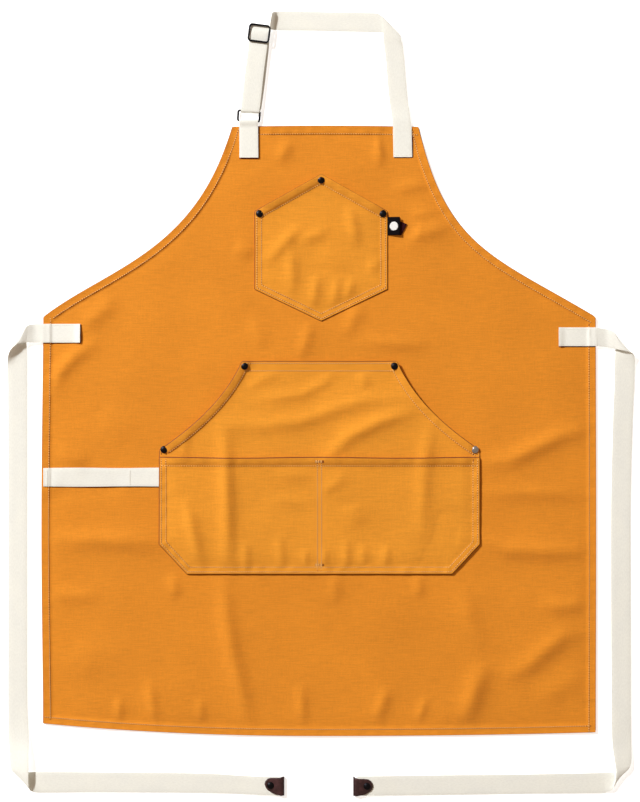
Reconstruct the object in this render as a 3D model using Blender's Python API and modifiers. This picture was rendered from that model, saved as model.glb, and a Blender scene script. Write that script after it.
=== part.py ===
"""Bib apron of heavy canvas with webbing straps, laid flat with its front facing up.

The apron lies in the XY plane: +X is to the right as seen from the front, +Y runs from the hem to
the neck loop, +Z comes out of the front face. The origin is on the surface that it lies on, in
the middle of the apron with its neck loop. Sizes are in metres, written as millimetres times MM.
"""
import math

import bmesh
import bpy
from mathutils import Matrix, Vector

MM = 0.001

# Cloth and webbing
CANVAS = 1.0 * MM
HEM_WIDTH = 10.0 * MM
HEM_FOLD = 0.9 * MM             # how far the folded hem stands out at the back
WEB_WIDTH = 25.4 * MM
WEB = 1.3 * MM                  # thickness of the webbing
GAP = 0.3 * MM                  # between pieces that touch

# Body panel
SKIRT_WIDTH = 748.0 * MM
BIB_WIDTH = 252.0 * MM
BIB_SHIFT = 8.0 * MM            # the bib lies a little to the right of the skirt's middle
BODY_LENGTH = 826.5 * MM
BIB_LENGTH = 259.0 * MM         # from the bib's top edge to the bottom of the armholes
NECK_RISE = 143.5 * MM          # from the bib's top edge to the middle of the neck loop's top run
HEM_RISE = {-1: 17.0 * MM, 1: 5.0 * MM}
ARMHOLE_TOP_PULL = {-1: (-48.6 * MM, -173.0 * MM), 1: (36.5 * MM, -166.0 * MM)}
ARMHOLE_SIDE_PULL = {-1: (87.0 * MM, 67.0 * MM), 1: (-137.0 * MM, 82.0 * MM)}

# Pockets
POCKET_ROOM = 5.7 * MM          # how far a slack pocket stands off what is behind it
CHEST_WIDTH = 179.0 * MM
CHEST_APEX = 66.0 * MM          # from the bib's top edge down to the chest pocket's apex
CHEST_SHOULDER = 50.0 * MM      # from the apex down to the side corners
CHEST_SIDE = 105.0 * MM
CHEST_POINT = 43.0 * MM         # from the lower side corners down to the bottom corner
WAIST_TOP_WIDTH = 209.0 * MM
WAIST_WIDTH = 433.0 * MM
WAIST_HEIGHT = 287.0 * MM
WAIST_TOP_DROP = 319.5 * MM     # from the bib's top edge down to the waist pocket's top edge
WAIST_MOUTH_DROP = 120.0 * MM   # from that top edge down to the end of its curved side mouths
WAIST_FLAT_MIDDLE = 92.0 * MM   # half the width of its middle, which lies flat on the panel
WAIST_CHAMFER_X = 37.0 * MM
WAIST_CHAMFER_Y = 40.0 * MM
FRONT_POCKET_HEIGHT = 157.0 * MM

# Neck loop hardware
RING_WIRE = 1.4 * MM            # radius
RING_PITCH = 14.0 * MM          # between the centres of the ring's two cross bars
RING_SIDE_ROOM = 0.5 * MM
RING_CENTRE_X = -96.1 * MM
RING_ABOVE_BIB = 6.5 * MM
FOLD_TILT = math.radians(3.0)   # the neck loop's fold line falls to the right
TAB_LENGTH = 49.0 * MM
SLIDER_WIRE = 1.2 * MM          # radius
SLIDER_BAR = 1.0 * MM           # radius of its middle bar
STRAP_ROOM = 0.1 * MM           # extra room between the strap and its end loop
SLIDER_LENGTH = 22.6 * MM       # between the centres of its end bars
SLIDER_OVER_CORNER = 2.0 * MM   # how far its top bar is past the strap's corner
NECK_SEWN_LENGTH = 40.0 * MM

# Ties
TIE_TAB_LENGTH = 49.5 * MM
TIE_TAB_DROP = {-1: 280.95 * MM, 1: 285.65 * MM}   # from the bib's top edge down to each tie
TIP_LENGTH = 26.7 * MM
TIP_WIDTH = 27.0 * MM
LEATHER = 1.2 * MM

# Towel loop and label
TOWEL_DROP = 476.0 * MM
TOWEL_ROOM = 6.5 * MM
LABEL_WIDTH = 25.0 * MM
LABEL_LENGTH = 17.0 * MM
LABEL_CLOTH = 0.5 * MM
LABEL_DROP = 134.5 * MM

# Rivets
RIVET_RADIUS = 5.0 * MM
TIP_RIVET_RADIUS = 4.2 * MM
RIVET_CAP = 1.9 * MM
RIVET_POST = 1.5 * MM           # radius
RIVET_WASHER = 3.5 * MM         # radius
RIVET_WASHER_THICK = 0.5 * MM
RIVET_INSET = 6.0 * MM          # from a pocket's corner to its rivet
RIVET_ROOM = RIVET_INSET + RIVET_RADIUS + 2.0 * MM     # cloth kept flat beside a rivet
SEAM_FLAT = RIVET_ROOM                                 # cloth kept flat along a sewn side

# Places that follow from the sizes above
HEM_Y = -(BODY_LENGTH + NECK_RISE + WEB_WIDTH / 2) / 2
BIB_TOP = HEM_Y + BODY_LENGTH
PANEL_TOP = HEM_FOLD + CANVAS
SEWN_Z = PANEL_TOP + GAP                 # the underside of what is sewn on the panel
SEWN_TOP = SEWN_Z + WEB                  # the top of webbing sewn on the panel
FLOOR_WEB_Z = GAP + WEB / 2              # middle of webbing that lies on the surface
SIDE_X = SKIRT_WIDTH / 2
CHEST_X = 2.3 * MM
CHEST_TOP = BIB_TOP - CHEST_APEX
CHEST_SHOULDER_Y = CHEST_TOP - CHEST_SHOULDER
CHEST_LOW_Y = CHEST_SHOULDER_Y - CHEST_SIDE
WAIST_TOP = BIB_TOP - WAIST_TOP_DROP
WAIST_MOUTH_END = WAIST_TOP - WAIST_MOUTH_DROP
WAIST_BOTTOM = WAIST_TOP - WAIST_HEIGHT
FRONT_POCKET_TOP = WAIST_BOTTOM + FRONT_POCKET_HEIGHT
LEG_Z = FLOOR_WEB_Z                      # middle of the strap's return leg
STRAP_Z = LEG_Z + 2 * (WEB + SLIDER_BAR) + 3 * GAP + STRAP_ROOM    # middle of the strap over it
RING_Z = (LEG_Z + STRAP_Z) / 2
RING_Y = BIB_TOP + RING_ABOVE_BIB
RING_AXIS = Vector((RING_CENTRE_X, RING_Y, RING_Z))
RING_UP = Vector((math.sin(FOLD_TILT), math.cos(FOLD_TILT), 0))
RING_ACROSS = Vector((math.cos(FOLD_TILT), -math.sin(FOLD_TILT), 0))

TIE_Y = {side: BIB_TOP - drop for side, drop in TIE_TAB_DROP.items()}
TIE_HINGE_X = SIDE_X + 2 * GAP
TIP_Z = 0.9 * MM
TIP_SLOT = WEB + 2 * GAP
TIP_HEIGHT = 2 * LEATHER + TIP_SLOT
TIP_WEB_Z = TIP_Z + TIP_HEIGHT / 2

COLOURS = {
    "canvas": ((0.84, 0.33, 0.045), 0.85, 0.0),
    "webbing": ((0.86, 0.85, 0.78), 0.8, 0.0),
    "leather": ((0.045, 0.018, 0.016), 0.45, 0.0),
    "gunmetal": ((0.03, 0.03, 0.032), 0.35, 0.9),
    "label_cloth": ((0.01, 0.009, 0.012), 0.7, 0.0),
}

# The free ties' middle lines, on the surface beside the apron, in millimetres. Each starts at its
# tab and has five parts: (out from the side edge, up from the tab), (out from the side edge,
# share of the way down to the hem), (out from the side edge, below the hem), (share of half the
# skirt's width, below the hem) and (out from the tip's folded end, below the hem).
TIE_ROUTE = {
    -1: (
        [(0.9, 0), (18, 0), (30.3, -5.2), (35.5, -17.7)],
        [(36.4, 0.099), (37, 0.246), (37.2, 0.429), (37.2, 0.631), (36.2, 0.833), (34, 0.979)],
        [(32.4, 40.65), (26, 56.65), (10, 62.95)],
        [(0.882, 62.85), (0.668, 62.25), (0.455, 63.25)],
        [(67.1, 65.65), (32.1, 66.85), (3.6, 67.05)],
    ),
    1: (
        [(0.9, 0), (20.6, -0.1), (33.2, -5.5), (38.3, -18)],
        [(37, 0.092), (35.4, 0.203), (34.8, 0.387), (34.8, 0.572), (34.8, 0.757), (35, 0.942)],
        [(35.2, 40.65), (29, 56.85), (13, 63.05)],
        [(0.896, 64.25), (0.722, 65.85), (0.535, 67.05)],
        [(69.1, 67.95), (32.1, 68.15), (3.6, 68.15)],
    ),
}
TIP_END_X = {-1: -47.9 * MM, 1: 45.9 * MM}      # the folded end of each leather tip
TIP_Y = {side: HEM_Y - parts[-1][-1][1] * MM for side, parts in TIE_ROUTE.items()}


# ---------------------------------------------------------------- building helpers

def clear_scene():
    for item in list(bpy.data.objects):
        bpy.data.objects.remove(item, do_unlink=True)


def collection(name):
    made = bpy.data.collections.new(name)
    bpy.context.scene.collection.children.link(made)
    return made


def material(name):
    made = bpy.data.materials.get(name)
    if made is None:
        colour, roughness, metallic = COLOURS[name]
        made = bpy.data.materials.new(name)
        made.use_nodes = True
        shader = made.node_tree.nodes["Principled BSDF"]
        shader.inputs["Base Color"].default_value = (*colour, 1.0)
        shader.inputs["Roughness"].default_value = roughness
        shader.inputs["Metallic"].default_value = metallic
    return made


def add_object(name, mesh, slot, into, origin=(0, 0, 0)):
    """A named object of a mesh given in world coordinates, with its own origin."""
    mesh.transform(Matrix.Translation(-Vector(origin)))
    item = bpy.data.objects.new(name, mesh)
    item.location = origin
    if slot:
        mesh.materials.clear()
        mesh.materials.append(material(slot))
    into.objects.link(item)
    return item


def mesh_from(bm, name):
    mesh = bpy.data.meshes.new(name)
    bm.to_mesh(mesh)
    bm.free()
    return mesh


def curve_to_mesh(name, curve):
    """The closed mesh of a curve, with its loose caps welded on."""
    holder = bpy.data.objects.new(name, curve)
    bpy.context.scene.collection.objects.link(holder)
    evaluated = holder.evaluated_get(bpy.context.evaluated_depsgraph_get())
    mesh = bpy.data.meshes.new_from_object(evaluated)
    bpy.data.objects.remove(holder)
    bpy.data.curves.remove(curve)
    bm = bmesh.new()
    bm.from_mesh(mesh)
    bmesh.ops.remove_doubles(bm, verts=bm.verts, dist=0.00001)
    bmesh.ops.recalc_face_normals(bm, faces=bm.faces)
    bm.to_mesh(mesh)
    bm.free()
    return mesh


def plate(name, outline, low, high):
    """A flat plate of an outline's shape, from height low to height high."""
    curve = bpy.data.curves.new(name, "CURVE")
    curve.dimensions = "2D"
    curve.fill_mode = "BOTH"
    curve.extrude = (high - low) / 2
    spline = curve.splines.new("POLY")
    spline.points.add(len(outline) - 1)
    for point, (x, y) in zip(spline.points, outline):
        point.co = (x, y, 0, 1)
    spline.use_cyclic_u = True
    mesh = curve_to_mesh(name, curve)
    mesh.transform(Matrix.Translation((0, 0, (low + high) / 2)))
    return mesh


def wire(name, points, radius, closed=True):
    """A round wire along points, as a mesh."""
    curve = bpy.data.curves.new(name, "CURVE")
    curve.dimensions = "3D"
    curve.bevel_depth = radius
    curve.bevel_resolution = 3
    curve.use_fill_caps = True
    spline = curve.splines.new("POLY")
    spline.points.add(len(points) - 1)
    for point, place in zip(spline.points, points):
        point.co = (*place, 1)
    spline.use_cyclic_u = closed
    mesh = curve_to_mesh(name, curve)
    mesh.shade_smooth()
    return mesh


def boolean(item, cutter, operation):
    step = item.modifiers.new(cutter.name, "BOOLEAN")
    step.operation = operation
    step.object = cutter
    step.solver = "EXACT"


def thicken(item, thickness, offset):
    step = item.modifiers.new("thickness", "SOLIDIFY")
    step.thickness = thickness
    step.offset = offset
    step.use_even_offset = True
    step.use_quality_normals = True


def cloth(name, columns, rows, place, slot):
    """A sheet of canvas whose underside is place(u, v), for each u in columns and v in rows."""
    bm = bmesh.new()
    bmesh.ops.create_grid(bm, x_segments=len(columns) - 1, y_segments=len(rows) - 1, size=0.5)
    for vert in bm.verts:
        u = columns[round((vert.co.x + 0.5) * (len(columns) - 1))]
        v = rows[round((vert.co.y + 0.5) * (len(rows) - 1))]
        vert.co = place(u, v)
    item = add_object(name, mesh_from(bm, name), slot, PARTS)
    thicken(item, CANVAS, 1.0)
    return item


def ribbon(name, stations, slot, thickness=WEB, origin=(0, 0, 0)):
    """A flat strap through stations, each a middle point and half its width as a vector."""
    bm = bmesh.new()
    rails = [(bm.verts.new(middle - half), bm.verts.new(middle + half))
             for middle, half in stations]
    for (left, right), (next_left, next_right) in zip(rails, rails[1:]):
        bm.faces.new((left, right, next_right, next_left))
    item = add_object(name, mesh_from(bm, name), slot, PARTS, origin)
    thicken(item, thickness, 0.0)
    return item


def flat_stations(points, start=None, end=None):
    """Stations of a strap along 3D points whose width lies level, mitred where it turns.

    start and end give the width's direction at the two ends where it isn't square to the strap."""
    stations = []
    for i, point in enumerate(points):
        before = (point - points[i - 1]) if i else (points[1] - point)
        after = (points[i + 1] - point) if i + 1 < len(points) else before
        before = Vector((before.x, before.y, 0)).normalized()
        after = Vector((after.x, after.y, 0)).normalized()
        along = (before + after).normalized()
        across = Vector((-along.y, along.x, 0)) / max(along.dot(after), 0.5)
        if i == 0 and start is not None:
            across = start
        if i + 1 == len(points) and end is not None:
            across = end
        stations.append((point, across * WEB_WIDTH / 2))
    return stations


def smooth_route(route, step):
    """Points about step apart on a smooth curve through the points of a route."""
    ends = [2 * route[0] - route[1]] + list(route) + [2 * route[-1] - route[-2]]
    points = []
    for a, b, c, d in zip(ends, ends[1:], ends[2:], ends[3:]):
        count = max(1, round((c - b).length / step))
        for i in range(count):
            t = i / count
            points.append(0.5 * (2 * b + (c - a) * t + (2 * a - 5 * b + 4 * c - d) * t * t
                                 + (3 * b - a - 3 * c + d) * t ** 3))
    return points + [route[-1]]


def ease(t):
    """0 to 1 with level ends, as t goes from 0 to 1."""
    t = min(1.0, max(0.0, t))
    return t * t * (3 - 2 * t)


def hole_cutter(x, y, radius):
    """A round cutter through everything at (x, y)."""
    bm = bmesh.new()
    bmesh.ops.create_cone(bm, cap_ends=True, segments=16, radius1=radius, radius2=radius,
                          depth=0.06)
    cutter = add_object("hole_cutter", mesh_from(bm, "hole"), None, CUTTERS, (0, 0, 0))
    cutter.location = (x, y, 0)
    hide_cutter(cutter)
    return cutter


def hide_cutter(cutter):
    cutter.hide_render = True
    cutter.display_type = "WIRE"


def turned(name, profile, slot, x, y):
    """A turned piece about a vertical axis at (x, y); profile is (radius, height), top first."""
    bm = bmesh.new()
    verts = [bm.verts.new((radius, 0, height)) for radius, height in profile]
    for a, b in zip(verts, verts[1:]):
        bm.edges.new((a, b))
    item = add_object(name, mesh_from(bm, name), slot, PARTS)
    item.location = (x, y, 0)
    screw = item.modifiers.new("turn", "SCREW")
    screw.steps = screw.render_steps = 14
    screw.use_merge_vertices = True
    screw.merge_threshold = 0.00001
    screw.use_smooth_shade = True
    return item


# ---------------------------------------------------------------- body panel

def bezier(p0, p1, p2, p3, count):
    """Points of a cubic curve after its first point, up to and with its last."""
    points = []
    for i in range(1, count + 1):
        t = i / count
        points.append((1 - t) ** 3 * p0 + 3 * (1 - t) ** 2 * t * p1
                      + 3 * (1 - t) * t * t * p2 + t ** 3 * p3)
    return points


def panel_outline():
    """The apron's outline, anticlockwise from the bib's top right corner."""
    def armhole(side):
        top = Vector((BIB_SHIFT + side * BIB_WIDTH / 2, BIB_TOP))
        low = Vector((side * SIDE_X, BIB_TOP - BIB_LENGTH))
        return [top] + bezier(top, top + Vector(ARMHOLE_TOP_PULL[side]),
                              low + Vector(ARMHOLE_SIDE_PULL[side]), low, 14)

    left_corner = Vector((-SIDE_X, HEM_Y + HEM_RISE[-1]))
    right_corner = Vector((SIDE_X, HEM_Y + HEM_RISE[1]))
    middle = Vector((0, HEM_Y))
    hem = bezier(left_corner, left_corner + Vector((SIDE_X / 3, -HEM_RISE[-1] / 2)),
                 middle - Vector((SIDE_X / 3, 0)), middle, 5)
    hem += bezier(middle, middle + Vector((SIDE_X / 3, 0)),
                  right_corner - Vector((SIDE_X / 3, HEM_RISE[1] / 2)), right_corner, 5)
    return armhole(-1) + [left_corner] + hem + list(reversed(armhole(1)))


def inset(outline, distance):
    """The outline moved inwards by distance."""
    moved = []
    for i, point in enumerate(outline):
        before = (point - outline[i - 1]).normalized()
        after = (outline[(i + 1) % len(outline)] - point).normalized()
        along = (before + after).normalized()
        moved.append(point + Vector((-along.y, along.x)) * distance / along.dot(after))
    return moved


def build_panel():
    """The canvas body: a sheet with a folded hem that stands out at the back."""
    outline = panel_outline()
    panel = add_object("body_panel", plate("body_panel", outline, 0, PANEL_TOP), "canvas", PARTS)
    recess = add_object("hem_recess", plate("recess", inset(outline, HEM_WIDTH), -0.01, HEM_FOLD),
                        None, CUTTERS)
    hide_cutter(recess)
    boolean(panel, recess, "DIFFERENCE")
    return panel


# ---------------------------------------------------------------- pockets

def spread(count, edge):
    """Places from 0 to 1, evenly apart but for a first and last step of edge."""
    inner = [edge + (1 - 2 * edge) * i / (count - 2) for i in range(count - 1)]
    return [0.0] + inner + [1.0]


def slack(distance, flat, rise):
    """How slack cloth is at a distance from its seam: none within flat, full after rise more."""
    return ease((distance - flat) / rise)


def chest_place(u, v):
    """The chest pocket's underside: six-sided, open along its two upper slanted edges."""
    x = (u - 0.5) * CHEST_WIDTH
    slant = 1 - abs(2 * u - 1)
    top = CHEST_SHOULDER_Y + CHEST_SHOULDER * slant
    bottom = CHEST_LOW_Y - CHEST_POINT * slant
    y = bottom + (top - bottom) * v
    from_apex = slack(math.hypot(x, CHEST_TOP - y), 2 * RIVET_ROOM, 24 * MM)
    from_side = slack(CHEST_WIDTH / 2 - abs(x), SEAM_FLAT, 24 * MM)
    room = POCKET_ROOM * from_side * from_apex * slack(y - bottom, 8 * MM, 40 * MM)
    return Vector((CHEST_X + x, y, SEWN_Z + room))


def waist_half_width(y):
    """Half the waist pocket's width at height y: curved mouths, straight sides, cut corners."""
    full, top = WAIST_WIDTH / 2, WAIST_TOP_WIDTH / 2
    if y > WAIST_MOUTH_END:
        fall = (WAIST_TOP - y) / WAIST_MOUTH_DROP
        return top + (full - top) * (0.5 * fall + 0.5 * fall ** 2.2)
    return full - WAIST_CHAMFER_X * max(0.0, 1 - (y - WAIST_BOTTOM) / WAIST_CHAMFER_Y)


def waist_rows():
    """Heights of the waist pockets' rows of points: the front pocket's, then those above it."""
    lower = [WAIST_BOTTOM + FRONT_POCKET_HEIGHT * i / 8 for i in range(9)]
    upper = [FRONT_POCKET_TOP + (WAIST_TOP - RIVET_ROOM - FRONT_POCKET_TOP) * i / 7
             for i in range(1, 8)]
    return lower, lower + upper + [WAIST_TOP]


def waist_place(u, y):
    """The waist pocket's underside: slack behind its two curved mouths, flat everywhere else."""
    half = waist_half_width(y)
    x = (2 * u - 1) * half
    at_mouth = slack(y - WAIST_MOUTH_END, RIVET_ROOM, 22 * MM)
    sideways = at_mouth + (1 - at_mouth) * slack(half - abs(x), SEAM_FLAT, 40 * MM)
    sideways *= slack(abs(x), WAIST_FLAT_MIDDLE, 26 * MM)
    lengthways = (slack(WAIST_TOP - y, RIVET_ROOM, 34 * MM)
                  * slack(y - FRONT_POCKET_TOP, 14 * MM, 22 * MM))
    return Vector((x, y, SEWN_Z + POCKET_ROOM * lengthways * sideways))


def front_place(u, y):
    """The front pocket: sewn at the sides, bottom and middle, so it makes two compartments."""
    back = waist_place(u, y)
    from_side = slack(waist_half_width(y) - abs(back.x), SEAM_FLAT, 30 * MM)
    from_seam = slack(abs(back.x), 0, 30 * MM)
    room = POCKET_ROOM * from_seam * from_side * slack(y - WAIST_BOTTOM, 0, 60 * MM)
    return back + Vector((0, 0, CANVAS + GAP + room))


def build_pockets():
    chest = cloth("chest_pocket", spread(14, SEAM_FLAT / CHEST_WIDTH), spread(8, 0.08),
                  chest_place, "canvas")
    columns = spread(20, SEAM_FLAT / WAIST_WIDTH)
    lower, whole = waist_rows()
    waist = cloth("waist_pocket", columns, whole, waist_place, "canvas")
    front = cloth("front_pocket", columns, lower, front_place, "canvas")
    return chest, waist, front


# ---------------------------------------------------------------- rivets

def rivet(name, x, y, surface, pierced, radius=RIVET_RADIUS, low=GAP / 2):
    """A rivet: a domed cap over the cloth and a post with a washer behind it.

    surface is the height that the cap sits on; pierced are the pieces that the post goes
    through, and low is the height of the washer's back."""
    base, top = surface + GAP, surface + GAP + RIVET_CAP
    turned(name + "_cap", [(0, top), (0.6 * radius, top - 0.1 * RIVET_CAP),
                           (0.88 * radius, top - 0.4 * RIVET_CAP),
                           (radius, top - 0.8 * RIVET_CAP), (radius, base), (0, base)],
           "gunmetal", x, y)
    turned(name + "_post", [(0, surface), (RIVET_POST, surface),
                            (RIVET_POST, low + RIVET_WASHER_THICK),
                            (RIVET_WASHER, low + RIVET_WASHER_THICK),
                            (RIVET_WASHER, low), (0, low)], "gunmetal", x, y)
    cutter = hole_cutter(x, y, RIVET_POST + GAP)
    for item in pierced:
        boolean(item, cutter, "DIFFERENCE")


def build_pocket_rivets(panel, chest, waist):
    surface = SEWN_Z + CANVAS
    side_y = CHEST_SHOULDER_Y - RIVET_INSET / 2
    rivet("chest_rivet_top", CHEST_X, CHEST_TOP - RIVET_INSET * 1.25, surface, [panel, chest])
    for side, name in ((-1, "left"), (1, "right")):
        rivet("chest_rivet_" + name, CHEST_X + side * (CHEST_WIDTH / 2 - RIVET_INSET), side_y,
              surface, [panel, chest])
        rivet("waist_rivet_top_" + name, side * (WAIST_TOP_WIDTH / 2 - RIVET_INSET / 2),
              WAIST_TOP - RIVET_INSET, surface, [panel, waist])
        rivet("waist_rivet_side_" + name, side * (WAIST_WIDTH / 2 - RIVET_INSET),
              WAIST_MOUTH_END + RIVET_INSET / 6, surface, [panel, waist])


# ---------------------------------------------------------------- neck loop

def ring_frame(x, y, z=0.0):
    """A point given across the ring, up the ring from its lower bar, and above that bar."""
    return RING_AXIS + x * RING_ACROSS + y * RING_UP + Vector((0, 0, z))


def arc(cx, cy, radius, first, last, count):
    """(x, y) points of an arc from angle first to angle last, in degrees."""
    return [(cx + radius * math.cos(math.radians(first + (last - first) * i / count)),
             cy + radius * math.sin(math.radians(first + (last - first) * i / count)))
            for i in range(count + 1)]


def build_ring():
    """The rectangular wire ring, on its lower bar's axis."""
    half = WEB_WIDTH / 2 + RING_SIDE_ROOM + RING_WIRE
    bend = 2.4 * MM
    path = []
    for cx, cy, first in ((half - bend, RING_PITCH - bend, 0), (bend - half, RING_PITCH - bend, 90),
                          (bend - half, bend, 180), (half - bend, bend, 270)):
        path += arc(cx, cy, bend, first, first + 90, 4)
    mesh = wire("ring", [ring_frame(x, y) for x, y in path], RING_WIRE)
    return add_object("ring", mesh, "gunmetal", PARTS, RING_AXIS)


def build_ring_tab():
    """The webbing tab that holds the ring's lower bar, folded round it and sewn on the bib."""
    radius = RING_WIRE + 0.6 * MM + WEB / 2
    low_z = SEWN_Z + WEB / 2 - RING_Z
    high_z = low_z + WEB + GAP
    flat_from = -RING_ABOVE_BIB + 1.6 * MM
    profile = [(-TAB_LENGTH, low_z), (flat_from, low_z)]
    profile += arc(0, 0, radius, -110, 110, 10)
    profile += [(-2.2 * radius, high_z + 0.9 * MM), (-3.4 * radius, high_z), (-TAB_LENGTH, high_z)]
    stations = [(ring_frame(0, y, z), RING_ACROSS * WEB_WIDTH / 2) for y, z in profile]
    ribbon("ring_tab", stations, "webbing")


def neck_route():
    """Middle points of the neck strap: ring, left run, top run, right run, bib."""
    start = ring_frame(0, RING_PITCH + 1.0 * MM, STRAP_Z - RING_Z)
    rise = BIB_TOP + NECK_RISE
    end_x = 112.4 * MM
    end_y = RING_Y - (end_x - RING_CENTRE_X) * math.tan(FOLD_TILT)
    end = Vector((end_x, end_y, SEWN_Z + WEB / 2)) + 2 * GAP * RING_UP
    return [
        start,
        Vector((-80.9 * MM, rise - 11.0 * MM, STRAP_Z)),
        Vector((-70.0 * MM, rise + 0.8 * MM, STRAP_Z)),
        Vector((0, rise, 4.0 * MM)),
        Vector((83.0 * MM, rise - 2.0 * MM, FLOOR_WEB_Z)),
        Vector((96.5 * MM, rise - 14.0 * MM, FLOOR_WEB_Z)),
        Vector((102.6 * MM, BIB_TOP + 86.0 * MM, FLOOR_WEB_Z)),
        Vector((109.4 * MM, BIB_TOP + 22.0 * MM, FLOOR_WEB_Z)),
        end + Vector((-0.8 * MM, 10.0 * MM, 0)),
        end,
    ]


def build_neck_strap():
    """The neck strap, from its fold round the ring's top bar to the right side of the bib."""
    route = neck_route()
    middle_z = (STRAP_Z + LEG_Z) / 2 - RING_Z
    radius = (STRAP_Z - LEG_Z) / 2
    wrap = [(RING_PITCH + y, middle_z + z) for y, z in arc(0, 0, radius, 270, 90, 10)]
    stations = [(ring_frame(0, y, z), RING_ACROSS * WEB_WIDTH / 2) for y, z in wrap]
    stations += [(middle, -half) for middle, half in
                 flat_stations(route, start=-RING_ACROSS, end=RING_ACROSS)]
    ribbon("neck_strap", stations, "webbing", origin=RING_AXIS)
    build_strap_leg(route)
    build_slider(route)
    sewn = route[-1] - 4 * GAP * RING_UP
    low = Vector((sewn.x + 0.8 * MM, BIB_TOP - NECK_SEWN_LENGTH - 2 * MM, sewn.z))
    ribbon("neck_strap_sewn_end", [(sewn, RING_ACROSS * WEB_WIDTH / 2),
                                   (low, Vector((WEB_WIDTH / 2, 0, 0)))], "webbing")


def slider_frame(route):
    """The slider's middle on the strap, its direction along the strap and across it."""
    up = (route[1] - route[0]).normalized()
    middle = route[1] - up * (SLIDER_LENGTH / 2 - SLIDER_OVER_CORNER)
    return middle, up, Vector((up.y, -up.x, 0))


def build_slider(route):
    """The slider: a bowed wire frame over the strap whose middle bar passes under it."""
    middle, up, across = slider_frame(route)
    end_z = STRAP_Z + WEB / 2 + 0.4 * MM + SLIDER_WIRE
    bar_z = LEG_Z + WEB / 2 + GAP + SLIDER_BAR
    half = WEB_WIDTH / 2 + GAP + 0.2 * MM + SLIDER_WIRE
    reach, bend = SLIDER_LENGTH / 2, 2.2 * MM

    def place(x, y, z):
        return Vector((middle.x, middle.y, 0)) + x * across + y * up + Vector((0, 0, z))

    quarter = arc(half - bend, reach - bend, bend, 0, 90, 4)
    side = [(half, 0, bar_z), (half, 1.6 * MM, bar_z + 0.4 * MM), (half, 5.0 * MM, end_z)]
    corner = [(x, y, end_z) for x, y in quarter]
    right_up = side + corner
    left_down = [(-x, y, z) for x, y, z in reversed(right_up[1:])]
    left_up = [(-x, -y, z) for x, y, z in right_up]
    right_down = [(x, -y, z) for x, y, z in reversed(right_up[1:])]
    path = right_up + left_down + left_up + right_down
    frame = add_object("slider", wire("slider", [place(*p) for p in path], SLIDER_WIRE),
                       "gunmetal", PARTS, middle)
    bar = wire("slider_bar", [place(-half, 0, bar_z), place(half, 0, bar_z)], SLIDER_BAR, False)
    cutter = add_object("slider_middle_bar", bar, None, CUTTERS, middle)
    hide_cutter(cutter)
    boolean(frame, cutter, "UNION")
    sleeve = [(y, bar_z + z) for y, z in
              arc(0, 0, SLIDER_BAR + GAP + WEB / 2, -80, 260, 14)]
    stations = [(place(0, y, z), across * WEB_WIDTH / 2) for y, z in sleeve]
    ribbon("strap_end_loop", stations, "webbing", origin=middle)


def build_strap_leg(route):
    """The strap's return leg, under the strap between the slider's loop and the ring's fold."""
    middle, up, across = slider_frame(route)
    top = middle - up * (SLIDER_BAR + WEB + 2.0 * MM)
    wrap_end = ring_frame(0, RING_PITCH, LEG_Z - RING_Z)
    start = wrap_end + (middle - wrap_end).normalized() * 1.2 * MM
    start.z = top.z = LEG_Z
    ribbon("strap_return_leg", [(start, RING_ACROSS * WEB_WIDTH / 2),
                                (top, across * WEB_WIDTH / 2)], "webbing")


# ---------------------------------------------------------------- ties

def tie_route(side):
    """The tie's middle line: from the hinge down to the surface, along it, up into its tip."""
    top, fall, corner, run, tip = TIE_ROUTE[side]
    tie_y, tip_x = TIE_Y[side], side * TIP_END_X[side]
    flat = [(SIDE_X + out * MM, tie_y + up * MM) for out, up in top]
    flat += [(SIDE_X + out * MM, tie_y + (HEM_Y - tie_y) * share) for out, share in fall]
    flat += [(SIDE_X + out * MM, HEM_Y - below * MM) for out, below in corner]
    flat += [(SIDE_X * share, HEM_Y - below * MM) for share, below in run]
    flat += [(tip_x + out * MM, HEM_Y - below * MM) for out, below in tip]
    flat = [Vector((side * x, y)) for x, y in flat]
    length = 0.0
    total = sum((b - a).length for a, b in zip(flat, flat[1:]))
    route = []
    for i, point in enumerate(flat):
        length += (point - flat[i - 1]).length if i else 0.0
        down = 1 - ease(length / (18 * MM))
        up = ease(1 - (total - length) / (60 * MM)) if total - length < 60 * MM else 0.0
        if total - length < TIP_LENGTH + 6 * MM:
            up = 1.0
        height = FLOOR_WEB_Z + (SEWN_Z + WEB / 2 - FLOOR_WEB_Z) * down
        height += (TIP_WEB_Z - FLOOR_WEB_Z) * up
        route.append(Vector((point.x, point.y, height)))
    return route


def tip_outline(side):
    """The leather tip's outline: a half round on the strap, square at its folded end."""
    fold, y, half = TIP_END_X[side], TIP_Y[side], TIP_WIDTH / 2
    centre = fold + side * (TIP_LENGTH - half)
    sweep = arc(centre, y, half, 90, 90 - side * 180, 12)
    points = [(fold, y + half)] + sweep + [(fold, y - half)]
    return points if side < 0 else list(reversed(points))


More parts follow.
